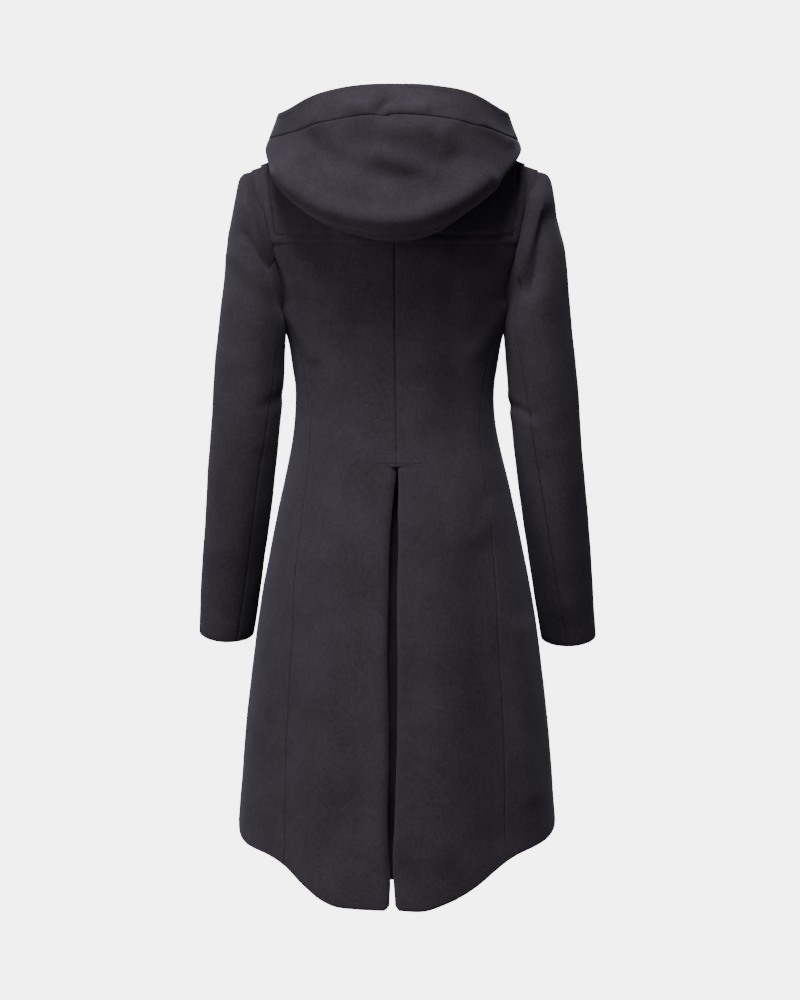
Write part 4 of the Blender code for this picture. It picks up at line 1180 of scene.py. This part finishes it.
def stitch_mesh(name, lines):
    """Threads along lines of points; each line is (sheet, points)."""
    points, faces = [], []
    ring = np.linspace(0, 2 * np.pi, ROUND, endpoint=False)
    for target, line in lines:
        line = np.asarray(line, float)
        length = run_of(line)
        starts = np.arange(0.0, length[-1] - STITCH, STITCH + STITCH_GAP)
        ends = np.stack([np.interp(starts, length, line[:, i]) for i in range(3)], -1)
        tips = np.stack([np.interp(starts + STITCH, length, line[:, i]) for i in range(3)], -1)
        a, lean_a = settle(target, ends)
        b, lean_b = settle(target, tips)
        for start, stop, up in zip(a, b, (lean_a + lean_b) / 2):
            way = (stop - start) / np.linalg.norm(stop - start)
            across = np.cross(up, way)
            across /= np.linalg.norm(across)
            up = np.cross(way, across)
            for t, size, rise in STITCH_SHAPE:
                middle = start + (stop - start) * t + up * rise * THREAD_RADIUS
                points += [
                    middle + THREAD_RADIUS * size * (np.cos(r) * across + np.sin(r) * up) for r in ring
                ]
            first = len(points) - len(STITCH_SHAPE) * ROUND
            end = len(points) - ROUND
            for low in range(first, end, ROUND):
                for i, j in ((i, (i + 1) % ROUND) for i in range(ROUND)):
                    faces.append((low + i, low + j, low + ROUND + j, low + ROUND + i))
            faces.append(tuple(range(first + ROUND - 1, first - 1, -1)))
            faces.append(tuple(range(end, end + ROUND)))
    mesh = bpy.data.meshes.new(name)
    mesh.from_pydata([tuple(p) for p in points], [], faces)
    for polygon in mesh.polygons:
        polygon.use_smooth = True
    mesh.materials.append(THREAD)
    piece = bpy.data.objects.new(name, mesh)
    COAT.objects.link(piece)
    return piece


def inset_lines(grid, at, sides, ends=(0.0, 0.0)):
    """Lines a distance inside the sides of a grid. Sides are any of bottom, top, first and last."""
    rows, columns = grid.shape[:2]
    along_rows = np.linalg.norm(np.diff(grid, axis=0), axis=2).cumsum(axis=0)
    along_columns = np.linalg.norm(np.diff(grid, axis=1), axis=2).cumsum(axis=1)
    down = np.concatenate([np.zeros((1, columns)), along_rows])
    over = np.concatenate([np.zeros((rows, 1)), along_columns], axis=1)
    lines = []
    for side in sides:
        across = side in ("bottom", "top")
        reach, net = (down, grid) if across else (over.T, grid.transpose(1, 0, 2))
        place = over[0] if across else down[:, 0]
        if side in ("top", "last"):
            reach, net = (reach[-1:] - reach)[::-1], net[::-1]
        line = np.array([
            [np.interp(at, reach[:, k], net[:, k, i]) for i in range(3)] for k in range(len(place))
        ])
        lines.append(line[(place >= ends[0]) & (place <= place[-1] - ends[1])])
    return lines


inside = YOKE_GROOVE[1]
yoke_lines = []
for half, front in (("left", False), ("left", True), ("right", False), ("right", True)):
    grid = yoke_grid(front, half)
    hem = inset_lines(grid, inside, ["bottom"], ends=(inside if front else 0, inside))
    edges = inset_lines(grid, inside, ["last", "first"] if front else ["last"], ends=(inside, 0.0))
    yoke_lines += [("yoke", mirrored(line) if half == "left" else line) for line in hem + edges]
places = BAND_SEAM + (RIM - BAND_SEAM) * spaced(HOOD_HEIGHTS["band"])
turns = np.linspace(-170, 170, 300)
rim = hood_grid(np.repeat(places[:, None], len(turns), axis=1), turns)
band_lines = [("hood_band", line) for line in inset_lines(rim, RIM_STITCHES, ["top"])]
front_lines = [
    ("front_" + half, turned(line))
    for half, turned, sign in (("left", mirrored, -1), ("right", lambda grid: grid, 1))
    for line in inset_lines(front_grid(sign), FRONT_STITCHES, ["first"], (FRONT_ENDS, FRONT_ENDS))
]
tab_lines = [("back_tab", line) for line in inset_lines(tab, TAB_STITCHES, SIDES, (0.003, 0.003))]
stitches = {
    name + "_stitches": stitch_mesh(name + "_stitches", lines)
    for name, lines in zip(
        ("yoke", "hood", "front", "tab"), (yoke_lines, band_lines, front_lines, tab_lines)
    )
}
print({name: len(piece.data.polygons) // STITCH_FACES for name, piece in stitches.items()})

# %% [markdown]
# ## Toggles, loops and patches
#
# A duffle coat is closed with horn toggles, so that it can be done up in thick gloves. Each toggle is
# tied to the left front by a short cord and goes through a long loop on the right one. Pointed leather
# patches, stitched all round, hold the ends of the cords.

# %% Fastenings
TOGGLE_LEVELS = (-0.165, -0.285, -0.405, -0.525)
TOGGLE_LENGTH, TOGGLE_RADIUS = 0.052, 0.0075
CORD_RADIUS, CORD_HALF = 0.0022, 0.0048
PATCH_START, PATCH_WIDTH, PATCH_HEIGHT, LEATHER_THICKNESS = 0.042, 0.034, 0.042, 0.0020
CORD_HEIGHT = CORD_RADIUS + LAYER_GAP
PATCH_STITCHES = 0.0034  # from a patch's edge
PATCH_EDGE, PATCH_PRESSED = (0.0009, 0.0024), (0.0005, 0.0008)  # depth and width, edge and stitches
# A patch's outline: places from its inner side to its point, and its height there
PATCH_PLACES, PATCH_TALL = (0, 0.06, 0.55, 0.94, 1), (0.70, 0.80, 0.90, 0.46, 0.38)
LOOP_ROUTE = ((PATCH_START + 0.004, 0.7), (0.030, 1), (0.018, 1), (0.004, 1), (-0.001, 0.6))
LOOP_BEND = -0.0025
TIE_ROUTE = ((-PATCH_START - 0.003, 0), (-0.034, 0.0012), (-0.022, 0.0006), (-0.0105, 0.0002))
TOGGLE_REST = 0.0003  # between a toggle and its cord
HORN = plain(
    "dark horn", (0.018, 0.010, 0.006), (0.120, 0.070, 0.036), 0.012, 0.30, 0.00005, (0.25, 1, 1),
    Coat_Weight=0.3, Coat_Roughness=0.2,
)
LEATHER = plain("dark leather", (0.010, 0.008, 0.008), (0.026, 0.021, 0.020), 0.0016, 0.52, 0.00016)
BRAID = plain("braided cord", (0.009, 0.008, 0.010), (0.022, 0.019, 0.023), 0.0007, 0.80, 0.00012)


def front_row(level):
    """The front's skin on the right at one level, from the middle to the armhole."""
    shares = np.linspace(0, 0.9, 46)
    if level > UNDERARM:
        return shares, rising(shares, rise_at_level(shares, level, True), True)
    _, before = seam_turns(level)
    return shares, section(np.pi + (before - np.pi) * shares, np.full(len(shares), level))


def on_front(x, level):
    """The outermost cloth of the closed front, this far to the right of the middle."""
    shares, row = front_row(level)
    row = spread(row, math.copysign(1, x))
    share = np.interp(abs(x), row[:, 0], shares)
    lapped = float(lap(share)) if x > 0 else FRONT_LAP if share < FRONT_OVERLAP + 0.01 else 0.0
    point = [np.interp(abs(x), row[:, 0], row[:, i]) for i in range(3)]
    return np.array(point) * [math.copysign(1, x), 1, 1] + [0, lapped, 0]


def twisted(name, route, pitch=0.0085, strands=3):
    """A cord of three strands that turn round each other along the route."""
    route = np.array(route)
    length = run_of(route)
    along = np.arange(0, length[-1], 0.0009)
    line = np.stack([smooth(along, length, route[:, i]) for i in range(3)], -1)
    ways = np.gradient(line, axis=0)
    ways /= np.linalg.norm(ways, axis=1)[:, None]
    up = np.array([0, 0.96, 0.28])
    across = np.cross(ways, up)
    across /= np.linalg.norm(across, axis=1)[:, None]
    above = np.cross(across, ways)
    made = []
    for strand in range(strands):
        turn = 2 * np.pi * (along / pitch + strand / strands)
        curve = bpy.data.curves.new(name, "CURVE")
        curve.dimensions, curve.bevel_depth, curve.bevel_resolution = "3D", CORD_RADIUS * 0.56, 2
        curve.use_fill_caps = True
        spline = curve.splines.new("POLY")
        spline.points.add(len(along) - 1)
        offset = CORD_RADIUS * 0.46 * (np.cos(turn)[:, None] * across + np.sin(turn)[:, None] * above)
        spline.points.foreach_set("co", np.column_stack([line + offset, np.ones(len(along))]).ravel())
        piece = bpy.data.objects.new(name, curve)
        COAT.objects.link(piece)
        made.append(piece)
    bpy.ops.object.select_all(action="DESELECT")
    for piece in made:
        piece.select_set(True)
    bpy.context.view_layer.objects.active = made[0]
    bpy.ops.object.convert(target="MESH")
    bpy.ops.object.join()
    piece = bpy.context.object
    piece.name = name
    piece.data.materials.clear()
    piece.data.materials.append(BRAID)
    bpy.ops.object.shade_smooth()
    return piece


def horn_toggle(name, middle):
    """Horn turned on a lathe: a slender barrel with blunt ends and a groove for its cord."""
    bpy.ops.object.select_all(action="DESELECT")
    bpy.ops.mesh.primitive_uv_sphere_add(segments=36, ring_count=64, radius=1)
    piece = bpy.context.object
    ball = np.array([vertex.co for vertex in piece.data.vertices])
    along = np.clip(ball[:, 2], -1, 1)
    barrel = (1 - np.abs(along) ** 5) ** 0.5 * (0.74 + 0.26 * np.cos(along * 1.7))
    size = TOGGLE_RADIUS * barrel * (1 - 0.22 * np.exp(-((along / 0.085) ** 2)))
    around = np.arctan2(ball[:, 1], ball[:, 0])
    turned = [along * TOGGLE_LENGTH / 2, size * np.cos(around), size * np.sin(around)]
    piece.data.vertices.foreach_set("co", (np.column_stack(turned) + middle).ravel())
    piece.data.update()
    piece.name = name
    piece.data.materials.append(HORN)
    bpy.ops.object.shade_smooth_by_angle(angle=math.radians(50))
    return piece


def leather_patch(name, level, side):
    """A pointed patch with its edge pressed down and a row of stitches round it."""
    across, up = spaced(PATCH_WIDTH, grain=0.0024), spaced(PATCH_HEIGHT, grain=0.0018)
    tall = np.interp(across, PATCH_PLACES, PATCH_TALL)
    columns = []
    for a, h in zip(across, tall):
        x = side * (PATCH_START + PATCH_WIDTH * a)
        ends = [on_front(x, level + v * PATCH_HEIGHT / 2 * h) for v in (-1, 0, 1)]
        t = up[:, None]
        columns.append(
            ends[0] * (1 - t) * (1 - 2 * t) + 4 * ends[1] * t * (1 - t) + ends[2] * t * (2 * t - 1)
        )
    grid = np.stack(columns, axis=1)
    points, faces = welded([(grid, side > 0)])
    away, edge = leans(points, faces), from_edge(points, faces)
    out = LEATHER_THICKNESS + LAYER_GAP - PATCH_EDGE[0] * np.clip(1 - edge / PATCH_EDGE[1], 0, 1) ** 2
    out -= PATCH_PRESSED[0] * np.exp(-(((edge - PATCH_STITCHES) / PATCH_PRESSED[1]) ** 2))
    piece = build(name, points + away * out[:, None], faces, LEATHER_THICKNESS, LEATHER)
    return piece, grid


patch_lines = []
fastenings = {}
for number, level in enumerate(TOGGLE_LEVELS, 1):
    crest = on_front(0.001, level)
    slope = (on_front(0.001, level + 0.01) - on_front(0.001, level - 0.01)) / 0.02
    up = np.array([0, slope[1], 1]) / math.hypot(slope[1], 1)
    out = np.array([0, up[2], -up[1]])

    def above(x, side, height=CORD_HEIGHT):
        base = on_front(x, level) if abs(x) > 0.004 else crest + [x, 0, 0]
        return base + out * height + up * side

    fastenings[f"toggle_{number}"] = horn_toggle(
        f"horn_toggle_{number}", crest + out * (CORD_HEIGHT + CORD_RADIUS + TOGGLE_REST + TOGGLE_RADIUS)
    )
    loop = [above(x, share * CORD_HALF) for x, share in LOOP_ROUTE] + [above(LOOP_BEND, 0)]
    loop += [above(x, -share * CORD_HALF) for x, share in LOOP_ROUTE[::-1]]
    fastenings[f"loop_{number}"] = twisted(f"cord_loop_{number}", loop)
    tie = [above(x, 0, CORD_HEIGHT + height) for x, height in TIE_ROUTE]
    fastenings[f"tie_{number}"] = twisted(f"cord_tie_{number}", tie)
    for half, side in (("left", -1), ("right", 1)):
        name = f"patch_{half}_{number}"
        fastenings[name], grid = leather_patch(f"leather_{half}_{number}", level, side)
        cloth[name] = fastenings[name]
        lines = inset_lines(grid, PATCH_STITCHES, SIDES, (PATCH_STITCHES, PATCH_STITCHES))
        patch_lines += [(name, line) for line in lines]
stitches["patch_stitches"] = stitch_mesh("patch_stitches", patch_lines)
for name in [n for n in cloth if n.startswith("patch")]:
    del cloth[name]
print(len(fastenings), "fastening pieces")

# %% [markdown]
# ## The cut

# %% [markdown]
# ## Studio
#
# A pale floor before an evenly lit white background, and a long lens at the height of the coat's
# middle. A broad soft light stands behind the coat to the left. Others stand low behind it, above
# it and in front of it. The lens sees the paper much brighter than the coat is lit by it, so
# that it comes out nearly white while dark wool keeps its shadows.

# %% Floor, lights and camera
TARGET = Vector((0.007, 0.0, -0.486))
DISTANCE = 16.0
FRAME_HEIGHT = 1.35
FLOOR = -1.30
PAPER_SHINE = 5.5  # what the lens sees of the evenly lit paper
ROOM_LIGHT = 0.10  # what the coat gets from it

FLOOR_SIDE, FLOOR_BEHIND, FLOOR_AHEAD = 2.6, -2.0, 2.6

mesh = bpy.data.meshes.new("floor")
ends = ((-1, FLOOR_BEHIND), (1, FLOOR_BEHIND), (1, FLOOR_AHEAD), (-1, FLOOR_AHEAD))
mesh.from_pydata([(side * FLOOR_SIDE, y, FLOOR) for side, y in ends], [], [(0, 1, 2, 3)])
floor = bpy.data.objects.new("floor", mesh)
bpy.context.scene.collection.objects.link(floor)
paper = Maker("floor paper")
grain = paper.noise(0.9, detail=1.0)
paper.finish(paper.colour(grain, (0.40, 0.40, 0.40), (0.42, 0.42, 0.42)), 0.95, grain, 0.0)
shine = paper.node("ShaderNodeEmission", "Emission", {"Color": (1, 1, 1, 1), "Strength": PAPER_SHINE})
seen = paper.node("ShaderNodeLightPath", "Is Camera Ray")
lit = Value(paper, paper.shader.outputs[0])
mixed = paper.node("ShaderNodeMixShader", 0, {0: seen, 1: lit, 2: shine})
paper.put(paper.tree.nodes["Material Output"].inputs["Surface"], mixed)
mesh.materials.append(paper.material)


def light(name, place, aim, size, power):
    lamp = bpy.data.lights.new(name, "AREA")
    lamp.shape, lamp.size, lamp.energy = "DISK", size, power
    made = bpy.data.objects.new(name, lamp)
    made.location = place
    made.rotation_euler = (Vector(aim) - Vector(place)).to_track_quat("-Z", "Y").to_euler()
    bpy.context.scene.collection.objects.link(made)


light("key", (-3.6, -3.1, 0.5), (0, 0, -0.60), 3.0, 140)
light("fill", (1.2, -5.0, -1.1), (0, 0, -0.3), 2.4, 21)
light("top", (-0.3, -1.5, 2.3), (0, -0.1, -0.1), 1.2, 150)
light("front", (0.4, 3.4, 1.0), (0, 0, -0.5), 2.0, 40)
world = bpy.data.worlds.new("studio")
world.use_nodes = True
tree = world.node_tree
room = tree.nodes["Background"]
room.inputs["Color"].default_value = (1, 1, 1, 1)
room.inputs["Strength"].default_value = ROOM_LIGHT
background = tree.nodes.new("ShaderNodeBackground")
background.inputs["Color"].default_value = (1, 1, 1, 1)
background.inputs["Strength"].default_value = PAPER_SHINE
ray = tree.nodes.new("ShaderNodeLightPath")
either = tree.nodes.new("ShaderNodeMixShader")
tree.links.new(ray.outputs["Is Camera Ray"], either.inputs[0])
tree.links.new(room.outputs[0], either.inputs[1])
tree.links.new(background.outputs[0], either.inputs[2])
tree.links.new(either.outputs[0], tree.nodes["World Output"].inputs["Surface"])
bpy.context.scene.world = world

lens = bpy.data.cameras.new("camera")
lens.sensor_fit = "VERTICAL"
lens.sensor_height = 24
lens.lens = lens.sensor_height * DISTANCE / FRAME_HEIGHT
lens.clip_end = 60
camera = bpy.data.objects.new("camera", lens)
camera.location = TARGET + Vector((0, -DISTANCE, 0))
camera.rotation_euler = (math.pi / 2, 0, 0)
bpy.context.scene.collection.objects.link(camera)
bpy.context.scene.camera = camera
print("the camera is", DISTANCE, "m behind the coat")

# %% [markdown]
# ## Attaching the pieces
#
# Each piece takes the place of its solid and rides the coat's one body.

# %% Attaching the pieces
for name, piece in cloth.items():
    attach(piece, "root")
    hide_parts(name)
for name, piece in fastenings.items():
    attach(piece, "root")
    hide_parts(name)
for piece in stitches.values():
    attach(piece, "root")
